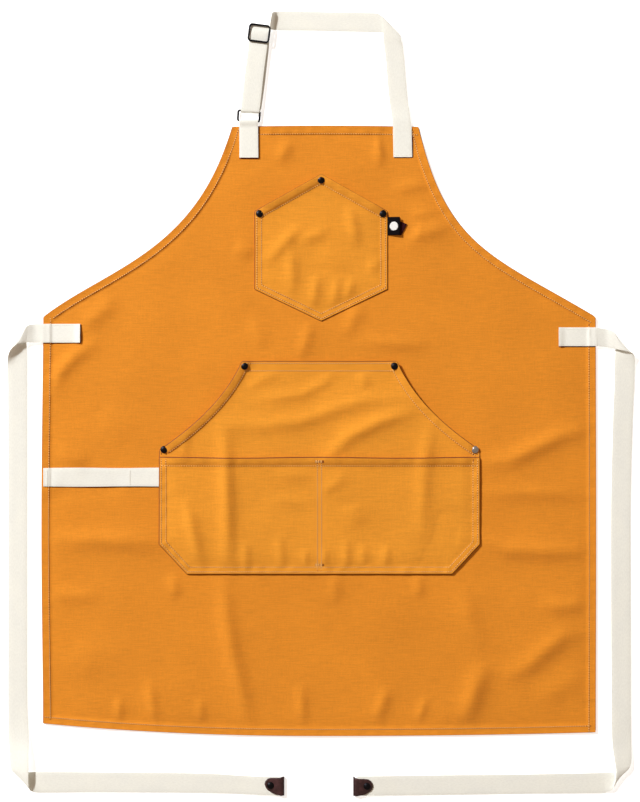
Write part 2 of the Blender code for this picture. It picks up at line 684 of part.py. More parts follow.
def build_tie(side, name):
    """One waist tie: its sewn tab, its free webbing and the riveted leather tip."""
    hinge = Vector((side * TIE_HINGE_X, TIE_Y[side], SEWN_TOP + GAP / 2))
    across = Vector((0, WEB_WIDTH / 2, 0))
    low, high = SEWN_Z + WEB / 2, SEWN_Z + WEB / 2 + WEB + GAP
    outer, inner = TIE_HINGE_X - GAP, TIE_HINGE_X - TIE_TAB_LENGTH
    turn_under = 14 * MM
    profile = [(outer, low), (inner + turn_under + 9 * MM, low), (inner + turn_under + 3 * MM, high),
               (inner + 0.9 * MM, high), (inner + 0.2 * MM, (low + high) / 2),
               (inner + 0.9 * MM, low), (inner + turn_under, low)]
    ribbon(name + "_tie_tab", [(Vector((side * x, TIE_Y[side], z)), across) for x, z in profile],
           "webbing")

    points = smooth_route(tie_route(side), 24 * MM)
    stations = flat_stations(points, start=Vector((0, side, 0)))
    tie = ribbon(name + "_tie", stations, "webbing", origin=hinge)

    outline = tip_outline(side)
    tip = add_object(name + "_tie_tip", plate("tip", outline, TIP_Z, TIP_Z + TIP_HEIGHT),
                     "leather", PARTS, (TIP_END_X[side], TIP_Y[side], TIP_Z))
    bm = bmesh.new()
    bmesh.ops.create_cube(bm, size=1)
    slot = add_object("tip_slot", mesh_from(bm, "slot"), None, CUTTERS)
    slot.scale = (2 * TIP_LENGTH, 2 * TIP_WIDTH, TIP_SLOT)
    slot.location = (TIP_END_X[side] + side * (TIP_LENGTH + 1.8 * MM), TIP_Y[side], TIP_WEB_Z)
    hide_cutter(slot)
    boolean(tip, slot, "DIFFERENCE")
    rivet_x = TIP_END_X[side] + side * (TIP_LENGTH - 8.2 * MM)
    rivet(name + "_tip_rivet", rivet_x, TIP_Y[side], TIP_Z + TIP_HEIGHT, [tie, tip],
          TIP_RIVET_RADIUS)


# ---------------------------------------------------------------- towel loop and label

def build_towel_loop():
    """A webbing loop sewn across the left side, slack between its two rows of stitching."""
    y = BIB_TOP - TOWEL_DROP
    left, right = -SIDE_X + 0.5 * MM, -WAIST_WIDTH / 2 - GAP
    first, last = left + 7 * MM, right - 38 * MM
    low = SEWN_Z + WEB / 2
    count = 12
    stations = [(Vector((left, y, low)), Vector((0, WEB_WIDTH / 2, 0)))]
    for i in range(count + 1):
        t = i / count
        height = low + TOWEL_ROOM * min(ease(t / 0.35), ease((1 - t) / 0.35))
        stations.append((Vector((first + (last - first) * t, y, height)),
                         Vector((0, WEB_WIDTH / 2, 0))))
    stations.append((Vector((right, y, low)), Vector((0, WEB_WIDTH / 2, 0))))
    ribbon("towel_loop", stations, "webbing")


def build_label():
    """A folded cloth label sewn in at the chest pocket's right edge; it turns on that seam."""
    seam = CHEST_X + CHEST_WIDTH / 2 + GAP
    y = BIB_TOP - LABEL_DROP
    low = SEWN_Z + LABEL_CLOTH / 2
    top = low + 1.3 * MM
    profile = [(seam, low), (seam + LABEL_LENGTH - 0.8 * MM, low),
               (seam + LABEL_LENGTH, (low + top) / 2), (seam + LABEL_LENGTH - 0.8 * MM, top),
               (seam + 1.0 * MM, top)]
    hinge = (seam - GAP / 2, y, top + LABEL_CLOTH / 2 + GAP / 2)
    stations = [(Vector((x, y, z)), Vector((0, LABEL_WIDTH / 2, 0))) for x, z in profile]
    ribbon("label", stations, "label_cloth", LABEL_CLOTH, hinge)


clear_scene()
PARTS = collection("apron")
CUTTERS = collection("cutters")
body = build_panel()
chest_pocket, waist_pocket, front_pocket = build_pockets()
build_pocket_rivets(body, chest_pocket, waist_pocket)
build_ring()
build_ring_tab()
build_neck_strap()
for tie_side, tie_name in ((-1, "left"), (1, "right")):
    build_tie(tie_side, tie_name)
build_towel_loop()
build_label()
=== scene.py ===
"""The looks of a canvas bib apron laid flat: cloth with folds and stitching, webbing, hardware, light."""
import math

import bmesh
import bpy
import numpy as np
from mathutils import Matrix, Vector
from mathutils.kdtree import KDTree


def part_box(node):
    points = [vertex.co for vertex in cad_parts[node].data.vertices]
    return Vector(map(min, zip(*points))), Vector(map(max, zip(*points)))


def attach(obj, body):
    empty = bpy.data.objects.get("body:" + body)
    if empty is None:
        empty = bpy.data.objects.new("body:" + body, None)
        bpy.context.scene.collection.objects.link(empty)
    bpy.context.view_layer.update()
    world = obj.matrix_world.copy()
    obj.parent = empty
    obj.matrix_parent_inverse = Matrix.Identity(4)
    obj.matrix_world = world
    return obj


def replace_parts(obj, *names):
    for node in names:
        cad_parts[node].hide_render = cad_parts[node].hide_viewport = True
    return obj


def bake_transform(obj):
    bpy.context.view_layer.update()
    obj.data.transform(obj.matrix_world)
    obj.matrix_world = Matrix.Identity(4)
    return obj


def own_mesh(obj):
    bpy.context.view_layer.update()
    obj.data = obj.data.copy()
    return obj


MM = 0.001
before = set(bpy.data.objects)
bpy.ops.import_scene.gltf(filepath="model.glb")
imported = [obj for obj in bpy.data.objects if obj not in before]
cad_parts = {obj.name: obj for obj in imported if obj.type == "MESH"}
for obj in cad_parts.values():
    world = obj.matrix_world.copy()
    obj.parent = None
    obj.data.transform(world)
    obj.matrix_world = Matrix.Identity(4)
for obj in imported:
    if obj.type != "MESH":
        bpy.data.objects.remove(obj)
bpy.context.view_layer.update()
scene = bpy.context.scene
scene.view_settings.view_transform = "Standard"

CANVAS = 1.0 * MM
WEB = 1.3 * MM
WEB_WIDTH = 0.0254
HEM = 10 * MM
POCKET_HEM = 8 * MM
HEM_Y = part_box("body_panel")[0][1]
BIB_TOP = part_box("body_panel")[1][1]
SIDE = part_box("body_panel")[1][0]
FRONT_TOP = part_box("front_pocket")[1][1]


def build_camera():
    data = bpy.data.cameras.new("camera")
    data.lens = 85
    data.sensor_fit = "HORIZONTAL"
    data.sensor_width = 36 * 640 / 802
    camera = bpy.data.objects.new("camera", data)
    camera.location = (0.0007, -0.0376, 2.57)
    scene.collection.objects.link(camera)
    scene.camera = camera


# ---------------------------------------------------------------- mesh helpers

def unit(vectors):
    return vectors / np.maximum(np.linalg.norm(vectors, axis=1, keepdims=True), 1e-9)


def distance_along(points):
    """The distance from a line's start to each of its points."""
    return np.concatenate([[0], np.cumsum(np.linalg.norm(np.diff(points, axis=0), axis=1))])


def add_piece(name, vertices, faces, material, sharp=None, smooth=True, uvs=None):
    mesh = bpy.data.meshes.new(name)
    mesh.from_pydata([tuple(v) for v in vertices], [], faces)
    mesh.materials.append(material)
    if smooth:
        mesh.shade_smooth()
    if uvs is not None:
        layer = mesh.uv_layers.new(name="uv")
        index = np.empty(len(mesh.loops), dtype=np.int32)
        mesh.loops.foreach_get("vertex_index", index)
        layer.data.foreach_set("uv", np.asarray(uvs, dtype=np.float32)[index].ravel())
    if sharp:
        mesh.set_sharp_from_angle(angle=math.radians(sharp))
    piece = bpy.data.objects.new(name, mesh)
    scene.collection.objects.link(piece)
    return piece


def assign(piece, body, slot, *nodes):
    """Put a piece on a body, standing for the CAD nodes that it replaces. The slot is not used."""
    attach(piece, body)
    if nodes:
        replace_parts(piece, *nodes)


def slab(name, top, bottom, material):
    """A closed sheet between two grids of points of the same shape (rows, columns, 3)."""
    rows, columns = top.shape[:2]
    count = rows * columns
    i = np.arange(count).reshape(rows, columns)
    quads = np.stack([i[:-1, :-1], i[:-1, 1:], i[1:, 1:], i[1:, :-1]], axis=-1).reshape(-1, 4)
    rim = np.concatenate([i[0, :-1], i[:-1, -1], i[-1, :0:-1], i[:0:-1, 0]])
    after = np.roll(rim, -1)
    walls = np.stack([rim, rim + count, after + count, after], axis=-1)
    faces = np.concatenate([quads, quads[:, ::-1] + count, walls]).tolist()
    vertices = np.concatenate([top.reshape(-1, 3), bottom.reshape(-1, 3)])
    return add_piece(name, vertices, faces, material, sharp=50)


def tube(name, rings, material, sharp=None, closed=False, uvs=None):
    """A piece through rings of points (rings, points, 3), capped at its ends or closed on itself."""
    i = np.arange(rings.shape[0] * rings.shape[1]).reshape(rings.shape[:2])
    walk = np.vstack([i, i[:1]]) if closed else i
    beside = np.roll(walk, -1, axis=1)
    faces = np.stack([walk[:-1], beside[:-1], beside[1:], walk[1:]], axis=-1).reshape(-1, 4).tolist()
    if not closed:
        faces += [i[0, ::-1].tolist(), i[-1].tolist()]
    return add_piece(name, rings.reshape(-1, 3), faces, material, sharp=sharp, uvs=uvs)


def smooth_curve(points, step):
    """A smooth curve through points, with about step between its points."""
    padded = np.vstack([2 * points[0] - points[1], points, 2 * points[-1] - points[-2]])
    out = []
    for a, b, c, d in zip(padded, padded[1:], padded[2:], padded[3:]):
        count = max(1, int(round(np.linalg.norm(c - b) / step)))
        t = np.arange(count)[:, None] / count
        out.append(0.5 * (2 * b + (c - a) * t + (2 * a - 5 * b + 4 * c - d) * t ** 2
                          + (3 * b - a - 3 * c + d) * t ** 3))
    return np.vstack(out + [points[-1:]])


def strap(name, left, right, thickness=WEB, across=10, step=2.5 * MM):
    """Webbing between two edges in mm, rounded at its selvedges, and its middle line."""
    both = smooth_curve(np.hstack([left, right]) * MM, step)
    left, right = both[:, :3], both[:, 3:]
    side = right - left
    middle = (left + right) / 2
    along = unit(np.gradient(middle, axis=0))
    normal = unit(np.cross(side / np.linalg.norm(side, axis=1, keepdims=True), along))
    t = np.linspace(0, 1, across + 1)
    from_edge = np.minimum(t, 1 - t) * WEB_WIDTH
    half = thickness / 2 * np.sqrt(np.clip(from_edge / (0.8 * MM), 0.25, 1))
    loop_t = np.concatenate([t, t[::-1]])
    loop_h = np.concatenate([half, -half[::-1]])
    rings = (left[:, None] + side[:, None] * loop_t[None, :, None]
             + normal[:, None] * loop_h[None, :, None])
    uvs = np.stack(np.broadcast_arrays(loop_t[None, :] * WEB_WIDTH, distance_along(middle)[:, None]), axis=-1)
    piece = tube(name, rings, webbing, sharp=60, uvs=uvs.reshape(-1, 2))
    return piece, middle


# ---------------------------------------------------------------- materials

class Shading:
    """A material being made, with a node for each value that its shader takes."""

    def __init__(self, name):
        self.made = bpy.data.materials.new(name)
        self.made.use_nodes = True
        self.tree = self.made.node_tree
        self.shader = self.tree.nodes["Principled BSDF"]

    def feed(self, made, inputs):
        for key, value in inputs.items():
            if isinstance(value, bpy.types.NodeSocket):
                self.tree.links.new(value, made.inputs[key])
            else:
                made.inputs[key].default_value = value

    def node(self, kind, inputs, output=0, **values):
        made = self.tree.nodes.new("ShaderNode" + kind)
        for key, value in values.items():
            setattr(made, key, value)
        self.feed(made, inputs)
        return made.outputs[output]

    def maths(self, operation, a, b=0.0):
        return self.node("Math", {0: a, 1: b}, operation=operation)

    def total(self, *parts):
        """The sum of values, each times its weight."""
        terms = [self.maths("MULTIPLY", value, weight) for value, weight in parts]
        total = terms[0]
        for term in terms[1:]:
            total = self.maths("ADD", total, term)
        return total

    def mixed(self, factor, a, b, blend="MIX"):
        return self.node("Mix", {0: factor, 6: a, 7: b}, 2, data_type="RGBA", blend_type=blend)

    def ranged(self, value, low, high, to_low, to_high):
        return self.node("MapRange", {0: value, 1: low, 2: high, 3: to_low, 4: to_high})

    def noise(self, place, scale, detail=2.0, roughness=0.5):
        place = self.node("Mapping", {"Vector": place, "Scale": scale})
        return self.node("TexNoise", {"Vector": place, "Scale": 1.0, "Detail": detail, "Roughness": roughness})

    def place(self):
        return self.node("TexCoord", {}, "Object")

    def bump(self, height, strength, distance):
        bump = self.node("Bump", {"Height": height, "Strength": strength, "Distance": distance})
        self.feed(self.shader, {"Normal": bump})

    def tint(self, colour, *tones):
        """The shader's colour: a colour times tones near 1."""
        tone = tones[0]
        for other in tones[1:]:
            tone = self.maths("MULTIPLY", tone, other)
        shade = self.node("CombineColor", {0: tone, 1: tone, 2: tone})
        self.feed(self.shader, {"Base Color": self.mixed(1.0, colour, shade, "MULTIPLY")})

    def finish(self, **inputs):
        """The material, with the shader's other inputs set; a name's _ stands for a space."""
        self.feed(self.shader, {key.replace("_", " "): value for key, value in inputs.items()})
        return self.made


def rgba(colour, gain=1.0):
    return (*(min(1.0, c * gain) for c in colour), 1.0)


def canvas_material(name, colour, weave=0.55 * MM):
    """Heavy plain-woven cotton: crossing threads, thicker slubs along the weft, faint fading."""
    new = Shading(name)
    place = new.place()
    slub = new.noise(place, (48, 700, 48), 3.0, 0.65)
    fine = new.noise(place, (420, 1500, 420), 2.0, 0.6)
    warp = new.noise(place, (1100, 60, 60))
    broad = new.noise(place, (7, 9, 9), 3.0, 0.55)
    scale = 2 * math.pi / (20 * weave)
    waves = [new.node("TexWave", {"Vector": place, "Scale": scale}, 1, bands_direction=way) for way in "YX"]
    threads = new.maths("MULTIPLY", *waves)
    value = new.total((slub, 0.45), (fine, 0.35), (warp, 0.2))
    new.tint(rgba(colour), new.ranged(value, 0.35, 0.65, 0.85, 1.12),
             new.ranged(broad, 0.3, 0.7, 0.965, 1.03), new.ranged(threads, 0.0, 1.0, 0.93, 1.06))
    new.bump(new.total((threads, 0.5), (value, 1.0)), 0.55, 0.4 * MM)
    return new.finish(Roughness=new.ranged(value, 0.3, 0.7, 0.92, 0.78), Specular_IOR_Level=0.25,
                      Sheen_Weight=0.12, Sheen_Roughness=0.5)


def webbing_material(name, colour, sheen=0.1, gloss=0.25):
    """Woven cotton webbing: a herringbone of fine ribs between plain selvedges."""
    new = Shading(name)
    place = new.node("UVMap", {}, uv_map="uv")
    across, run = (new.node("SeparateXYZ", {0: place}, axis) for axis in (0, 1))
    phase = new.maths("ADD", run, new.maths("PINGPONG", across, 3.1 * MM))
    ribs, threads = (new.maths("SINE", new.maths("MULTIPLY", value, 2 * math.pi / pitch))
                     for value, pitch in ((phase, 1.15 * MM), (across, 0.75 * MM)))
    grain = new.noise(place, (700, 260, 1), 3.0, 0.6)
    broad = new.noise(place, (40, 22, 1))
    warm = new.mixed(new.ranged(broad, 0.35, 0.7, 0.0, 0.35), rgba(colour),
                     rgba((colour[0], colour[1] * 0.985, colour[2] * 0.94)))
    new.tint(warm, new.ranged(grain, 0.3, 0.7, 0.95, 1.03), new.ranged(broad, 0.3, 0.7, 0.97, 1.02),
             new.ranged(ribs, -1.0, 1.0, 0.97, 1.02))
    new.bump(new.total((ribs, 0.35), (threads, 0.2), (grain, 0.8)), 0.5, 0.3 * MM)
    return new.finish(Roughness=0.82, Specular_IOR_Level=gloss, Sheen_Weight=sheen)


def metal_material(name, colour, roughness, scratches):
    """Plated steel wire with fine wear."""
    new = Shading(name)
    wear = new.noise(new.place(), (400, 400, 400), 4.0, 0.65)
    worn = new.mixed(new.ranged(wear, 0.58, 0.75, 0.0, scratches), rgba(colour),
                     rgba([c * 3 + 0.08 for c in colour]))
    new.bump(wear, 0.15, 0.1 * MM)
    return new.finish(Base_Color=worn, Metallic=1.0,
                      Roughness=new.ranged(wear, 0.3, 0.7, roughness * 0.8, roughness * 1.25))


def leather_material(name, colour, roughness):
    """Smooth pulled-up leather: fine pebbled grain and paler, worn high spots."""
    new = Shading(name)
    place = new.place()
    pebbles = new.node("TexVoronoi", {"Vector": place, "Scale": 900.0})
    grain = new.noise(place, (500, 500, 500), 4.0, 0.6)
    broad = new.noise(place, (110, 110, 110), 3.0, 0.55)
    pale = new.mixed(new.ranged(broad, 0.45, 0.72, 0.0, 0.6), rgba(colour),
                     rgba([c * 3.0 + 0.006 for c in colour]))
    new.bump(new.total((pebbles, 0.6), (grain, 1.0)), 0.35, 0.3 * MM)
    return new.finish(Base_Color=new.mixed(new.ranged(grain, 0.35, 0.6, 0.35, 0.0), pale, rgba(colour, 0.4)),
                      Roughness=new.ranged(grain, 0.3, 0.7, roughness * 0.8, roughness * 1.3))


def thread_material(name, colour):
    """Twisted sewing thread."""
    new = Shading(name)
    twist = new.noise(new.place(), (1800, 1800, 1800))
    new.bump(twist, 0.4, 0.2 * MM)
    return new.finish(Base_Color=new.mixed(new.ranged(twist, 0.35, 0.65, 0.0, 1.0), rgba(colour, 0.85),
                                           rgba(colour, 1.1)), Roughness=0.6)


canvas = canvas_material("canvas", (0.785, 0.27, 0.0155))
pocket_canvas = canvas_material("pocket_canvas", (0.83, 0.315, 0.021))
webbing = webbing_material("webbing", (0.89, 0.895, 0.835))
gunmetal = metal_material("gunmetal", (0.018, 0.018, 0.022), 0.38, 0.12)
# Painted reflection: a brighter, silvery copy of the rivets' dark metal, standing for the glint that light puts
# on one rivet.
painted_glint_metal = metal_material("painted_glint_metal", (0.55, 0.55, 0.57), 0.28, 0.1)
leather = leather_material("leather", (0.034, 0.011, 0.012), 0.36)
label_cloth = webbing_material("label_cloth", (0.004, 0.0025, 0.004), sheen=0.0, gloss=0.08)
# Painted shadow: the label's back layer is coloured dark red-brown, like the orange canvas in the shadow that the
# label casts.
label_back_painted_shade = webbing_material("label_back_painted_shade", (0.035, 0.006, 0.009), sheen=0.0, gloss=0.08)
label_white = webbing_material("label_white", (0.8, 0.8, 0.8))
thread = thread_material("thread", (0.98, 0.58, 0.19))
# Painted shade: a dark brown-orange for the strips laid under the stitch rows, made with the thread material's
# twist.
seam_shade = thread_material("seam_shade", (0.4, 0.1, 0.01))
# Painted shade: a near-black brown for the strips along the edges of the pockets, the hem and the webbing.
edge_shade = thread_material("edge_shade", (0.2, 0.035, 0.006))
pale_thread = thread_material("pale_thread", (0.9, 0.88, 0.8))


# ---------------------------------------------------------------- heights of the cloth

# Folds in the cloth: (height of the crest in mm, half its width in mm, its line as (x, y) in mm).
PANEL_FOLDS = [
    (1.9, 9, [(-130, -280), (-127, -328), (-118, -382), (-106, -430), (-96, -474)]),
    (1.8, 9, [(221, -121), (258, -118), (292, -101), (326, -85), (361, -76)]),
    (1.0, 8, [(228, -162), (306, -162), (359, -166)]),
    (1.8, 9, [(219, -226), (252, -238), (299, -241), (359, -242)]),
    (1.2, 8, [(302, -313), (333, -316), (361, -314)]),
    (1.7, 10, [(255, -411), (282, -396), (309, -372), (333, -354), (357, -350)]),
    (2.2, 11, [(223, -396), (211, -426), (197, -470)]),
    (1.6, 10, [(-362, -225), (-304, -226), (-257, -227), (-215, -230)]), (0.9, 8, [(-365, -299), (-301, -304)]),
    (1.6, 8, [(-304, 42), (-332, 23), (-353, 1), (-365, -29)]),
    (1.0, 8, [(-357, -101), (-338, -114), (-315, -123)]), (1.2, 9, [(-277, 99), (-298, 82), (-321, 62)]),
    (-1.2, 8, [(-365, -172), (-338, -157), (-271, -153)]), (1.0, 7, [(-39, 316), (-56, 286)]),
    (1.0, 6, [(82, 323), (81, 282)]), (0.9, 7, [(102, 250), (151, 258)]),
    (1.1, 8, [(109, 184), (143, 191), (180, 199)]), (0.6, 6, [(109, 213), (158, 219)]),
    (1.0, 7, [(-12, 67), (-18, 45), (-25, 23)]), (1.0, 8, [(56, 91), (45, 72), (36, 53)]),
    (0.9, 7, [(58, 45), (102, 40), (143, 38)]), (0.6, 8, [(-91, 72), (-74, 38)]),
    (0.7, 7, [(-115, 171), (-91, 162)]), (0.8, 5, [(-271, -440), (-272, -474)]),
    (1.0, 6, [(-232, -419), (-222, -474)]), (0.8, 5, [(-163, -443), (-159, -472)]),
    (1.0, 6, [(-26, -423), (-22, -474)]), (1.1, 7, [(92, -426), (77, -472)]),
    (0.8, 5, [(144, -440), (134, -472)]), (0.8, 6, [(-199, -274), (-195, -304)]),
    (0.7, 7, [(20, -274), (22, -311)]), (0.8, 6, [(134, -274), (135, -304)]),
    (0.9, 10, [(194, -294), (204, -335), (223, -375)]), (1.2, 14, [(296, -443), (357, -406)]),
    (0.5, 14, [(-325, -368), (-308, -409)]), (0.5, 14, [(-298, -57), (-257, -84)]),
]
WAIST_FOLDS = [
    (2.2, 8, [(-128, -78), (-127, -124), (-125, -185), (-124, -261)]),
    (1.2, 8, [(151, -70), (143, -114), (140, -172), (138, -216)]),
    (1.3, 8, [(-135, -70), (-81, -72), (-26, -65), (28, -46), (68, -36), (117, -35)]),
    (1.9, 8, [(11, -112), (41, -85), (82, -65), (126, -51)]),
    (0.9, 6, [(-81, -36), (-26, -29), (7, -13), (22, 3)]), (0.6, 5, [(-96, -19), (-77, -8), (-54, -1)]),
    (0.8, 6, [(-181, -82), (-185, -114)]), (0.6, 5, [(55, 1), (65, -19)]),
]
FRONT_FOLDS = [
    (1.6, 7, [(-181, -175), (-172, -213), (-161, -257)]),
    (-1.7, 8, [(194, -191), (175, -199), (167, -230), (146, -259)]), (0.6, 6, [(-60, -138), (-13, -139)]),
    (0.6, 6, [(1, -162), (35, -141)]), (0.5, 6, [(-67, -172), (-9, -175)]), (0.5, 10, [(41, -179), (55, -206)]),
    (0.7, 5, [(-101, -230), (-98, -265)]), (0.8, 5, [(-55, -223), (-50, -265)]),
    (0.6, 4, [(-20, -240), (-18, -265)]), (0.6, 4, [(7, -236), (7, -265)]), (0.8, 5, [(35, -227), (37, -265)]),
    (0.7, 5, [(58, -233), (60, -263)]), (0.7, 5, [(92, -233), (87, -265)]),
]
CHEST_FOLDS = [
    (1.2, 7, [(-71, 152), (-43, 181), (-25, 200)]), (1.2, 7, [(-39, 167), (-36, 109)]),
    (0.8, 6, [(-26, 179), (11, 193)]), (1.1, 6, [(40, 223), (51, 177)]), (1.0, 6, [(-3, 132), (-9, 91)]),
    (0.9, 6, [(24, 129), (20, 91)]), (0.7, 5, [(45, 129), (37, 99)]), (0.6, 6, [(65, 143), (83, 147)]),
    (0.5, 9, [(1, 167), (35, 140)]),
]

FOLD_GAIN = 2.6
FOLD_WIDTH = 1.25
FOLD_SKIRT = 2.6


def ease(t):
    """A smooth step from 0 to 1."""
    t = np.clip(t, 0, 1)
    return t * t * (3 - 2 * t)


def line_distance(x, y, points):
    """Distance of each place from a line through points."""
    best = np.full(x.shape, 1e9)
    for (ax, ay), (bx, by) in zip(points, points[1:]):
        dx, dy = bx - ax, by - ay
        t = np.clip(((x - ax) * dx + (y - ay) * dy) / (dx * dx + dy * dy), 0, 1)
        best = np.minimum(best, np.hypot(x - ax - t * dx, y - ay - t * dy))
    return best


def folds(x, y, lines):
    """Height of the folds at each place."""
    height = np.zeros(x.shape)
    x_mm, y_mm = x / MM, y / MM
    for crest, width, points in lines:
        d = line_distance(x_mm, y_mm, points)
        (ax, ay), (bx, by) = points[0], points[-1]
        reach = math.hypot(bx - ax, by - ay)
        along = ((x_mm - ax) * (bx - ax) + (y_mm - ay) * (by - ay)) / reach ** 2
        fade = ease(0.35 + along * 1.6) * ease(0.35 + (1 - along) * 1.6)
        core = np.exp(-(d / (FOLD_WIDTH * width)) ** 2)
        skirt = np.exp(-(d / (FOLD_SKIRT * width)) ** 2)
        height += FOLD_GAIN * crest * MM * fade * (0.8 * core + 0.35 * skirt)
    return height


def drift(x, y, amount, seed):
    """Slow, uneven rise and fall of cloth."""
    maker = np.random.default_rng(seed)
    height = np.zeros(x.shape)
    for _ in range(10):
        angle, wavelength, phase = (maker.uniform(*ends)
                                    for ends in ((0, 2 * np.pi), (0.07, 0.22), (0, 6.3)))
        height += np.sin(2 * np.pi * (x * np.cos(angle) + y * np.sin(angle)) / wavelength + phase)
    return amount * height / 3.2


class Outline:
    """A closed outline: distance from its edge and place along it."""

    def __init__(self, points, step=1.5 * MM):
        dense = []
        for a, b in zip(points, np.roll(points, -1, axis=0)):
            count = max(1, int(np.linalg.norm(b - a) / step))
            dense.append(a + (b - a) * np.arange(count)[:, None] / count)
        self.points = np.vstack(dense)
        self.tree = KDTree(len(self.points))
        for i, (px, py) in enumerate(self.points):
            self.tree.insert((px, py, 0), i)
        self.tree.balance()
        self.run = distance_along(self.points)

    def measure(self, x, y):
        found = [self.tree.find((a, b, 0)) for a, b in zip(x.ravel(), y.ravel())]
        distance = np.array([f[2] for f in found]).reshape(x.shape)
        run = self.run[np.array([f[1] for f in found])].reshape(x.shape)
        return distance, run


BIB = (-118 * MM, 134 * MM)
BIB_MIDDLE, BIB_HALF = 8 * MM, 126 * MM
ARM_Y = BIB_TOP - 259 * MM
ARM_PULLS = {-1: ((-48.6, -173), (87, 67)), 1: ((36.5, -166), (-137, 82))}


def armhole(side):
    """The curve of one armhole, from the bib's corner down to the side."""
    top, low = np.array([BIB[side > 0], BIB_TOP]), np.array([side * SIDE, ARM_Y])
    top_pull, low_pull = (np.array(pull) * MM for pull in ARM_PULLS[side])
    t = np.linspace(0, 1, 90)[:, None]
    return ((1 - t) ** 3 * top + 3 * (1 - t) ** 2 * t * (top + top_pull)
            + 3 * (1 - t) * t * t * (low + low_pull) + t ** 3 * low)


ARMHOLES = {side: armhole(side) for side in (-1, 1)}


def panel_edge(side, y):
    """The x of the panel's side edge at each y."""
    curve = ARMHOLES[side]
    x = np.interp(y, curve[::-1, 1], curve[::-1, 0])
    bow = 2.5 * MM if side < 0 else 0.6 * MM
    below = np.sin(np.pi * np.clip((ARM_Y - y) / (ARM_Y - HEM_Y), 0, 1)) ** 1.5
    return x + side * bow * below


def hem_y(x):
    """The y of the bottom edge at each x."""
    rise = np.where(x < 0, 17, 5) * MM
    return HEM_Y + rise * np.abs(x / SIDE) ** 2.1


def bib_sag(x):
    """How far the bib's top edge falls towards its corners."""
    return 1.4 * MM * ((x - BIB_MIDDLE) / BIB_HALF) ** 2


def panel_points():
    """The panel's places in a grid, and its outline."""
    low_y = HEM_Y + 50 * MM
    u = np.linspace(0, 1, 316)

    def across(y):
        left, right = panel_edge(-1, y), panel_edge(1, y)
        return left + (right - left) * u

    rows = []
    for t in np.linspace(0, 1, 22)[:-1]:
        x = across(np.array(low_y))
        bottom = hem_y(x)
        rows.append(np.stack([x, bottom + (low_y - bottom) * t], axis=-1))
    for y in np.linspace(low_y, BIB_TOP, 330):
        x = across(y)
        sag = bib_sag(x) * ease((y - BIB_TOP + 30 * MM) / (30 * MM))
        rows.append(np.stack([x, y - sag], axis=-1))
    grid = np.array(rows)
    rim = np.vstack([grid[0, :-1], grid[:-1, -1], grid[-1, :0:-1], grid[:0:-1, 0]])
    return grid, Outline(rim)


PANEL_GRID, PANEL_OUTLINE = panel_points()


def enclosed_area(points):
    x, y = points.T
    return 0.5 * abs(float(np.sum(x * np.roll(y, -1) - np.roll(x, -1) * y)))


def hem_height(distance, run, width=HEM, lift=1.5 * MM):
    """How much a folded hem stands up, with the puckers that its stitching draws in."""
    hem = 1 - ease((distance - width + 1.5 * MM) / (4 * MM))
    pucker = np.sin(run / (3.4 * MM) + 1.3 * np.sin(run / (21 * MM)))
    pucker *= np.exp(-((distance - 0.7 * width) / (0.6 * width)) ** 2)
    roll = np.exp(-(distance / (3.2 * MM)) ** 2)
    return lift * (hem + 0.35 * roll) + 0.26 * MM * pucker


LOWEST = 1.15 * MM
# Where the cloth lies flat under the label, the ring's tab and the strap's end:
# x, y, the radius of the flat middle, the radius of the whole, and the height, in mm.
PRESSED = [(104, 200, 17, 36, 2.2), (-97, 300, 18, 34, 2.1), (-97, 322, 18, 34, 2.1), (112, 318, 20, 36, 2.2)]


def panel_top(x, y, outline_data=None):
    """The height of the panel's face at each place."""
    distance, run = outline_data or PANEL_OUTLINE.measure(x, y)
    height = 2.0 * MM + folds(x, y, PANEL_FOLDS) + drift(x, y, 0.5 * MM, 3) + 0.5 * MM
    settled = 0.5 + 0.5 * ease(distance / (30 * MM))
    height = height * settled + 1.2 * MM * (1 - settled)
    above = height - LOWEST
    height = LOWEST + 0.5 * (above + np.sqrt(above ** 2 + (0.8 * MM) ** 2)) + hem_height(distance, run)
    for zone_x, zone_y, inner, outer, level in PRESSED:
        d = np.hypot(x / MM - zone_x, y / MM - zone_y)
        pressed = 1 - ease((d - inner) / (outer - inner))
        height = height * (1 - pressed) + level * MM * pressed
    return height


def build_panel():
    x, y = PANEL_GRID[..., 0], PANEL_GRID[..., 1]
    data = PANEL_OUTLINE.measure(x, y)
    top = panel_top(x, y, data)
    hem = 1 - ease((data[0] - HEM) / (1.5 * MM))
    low = np.maximum(top - CANVAS - 1.0 * MM * hem, 0.15 * MM)
    bottom = np.minimum(low, top - 0.7 * MM)
    piece = slab("apron_body", np.dstack([x, y, top]), np.dstack([x, y, bottom]), canvas)
    assign(piece, "apron", "canvas", "body_panel")
    enclosed_area(PANEL_OUTLINE.points)


# ---------------------------------------------------------------- stitching

def inset(points, distance):
    """An open line moved to its left by distance."""
    points = np.asarray(points, dtype=float)
    before = points - np.roll(points, 1, axis=0)
    after = np.roll(points, -1, axis=0) - points
    before[0], after[-1] = after[0], before[-1]
    before, after = unit(before), unit(after)
    along = unit(before + after)
    share = np.maximum((along * after).sum(axis=1, keepdims=True), 0.4)
    return points + np.column_stack([-along[:, 1], along[:, 0]]) * distance / share


def resampled(points, step):
    points = np.asarray(points, dtype=float)
    run = distance_along(points)
    at = np.linspace(0, run[-1], max(2, int(run[-1] / step)))
    return np.column_stack([np.interp(at, run, points[:, 0]), np.interp(at, run, points[:, 1])])


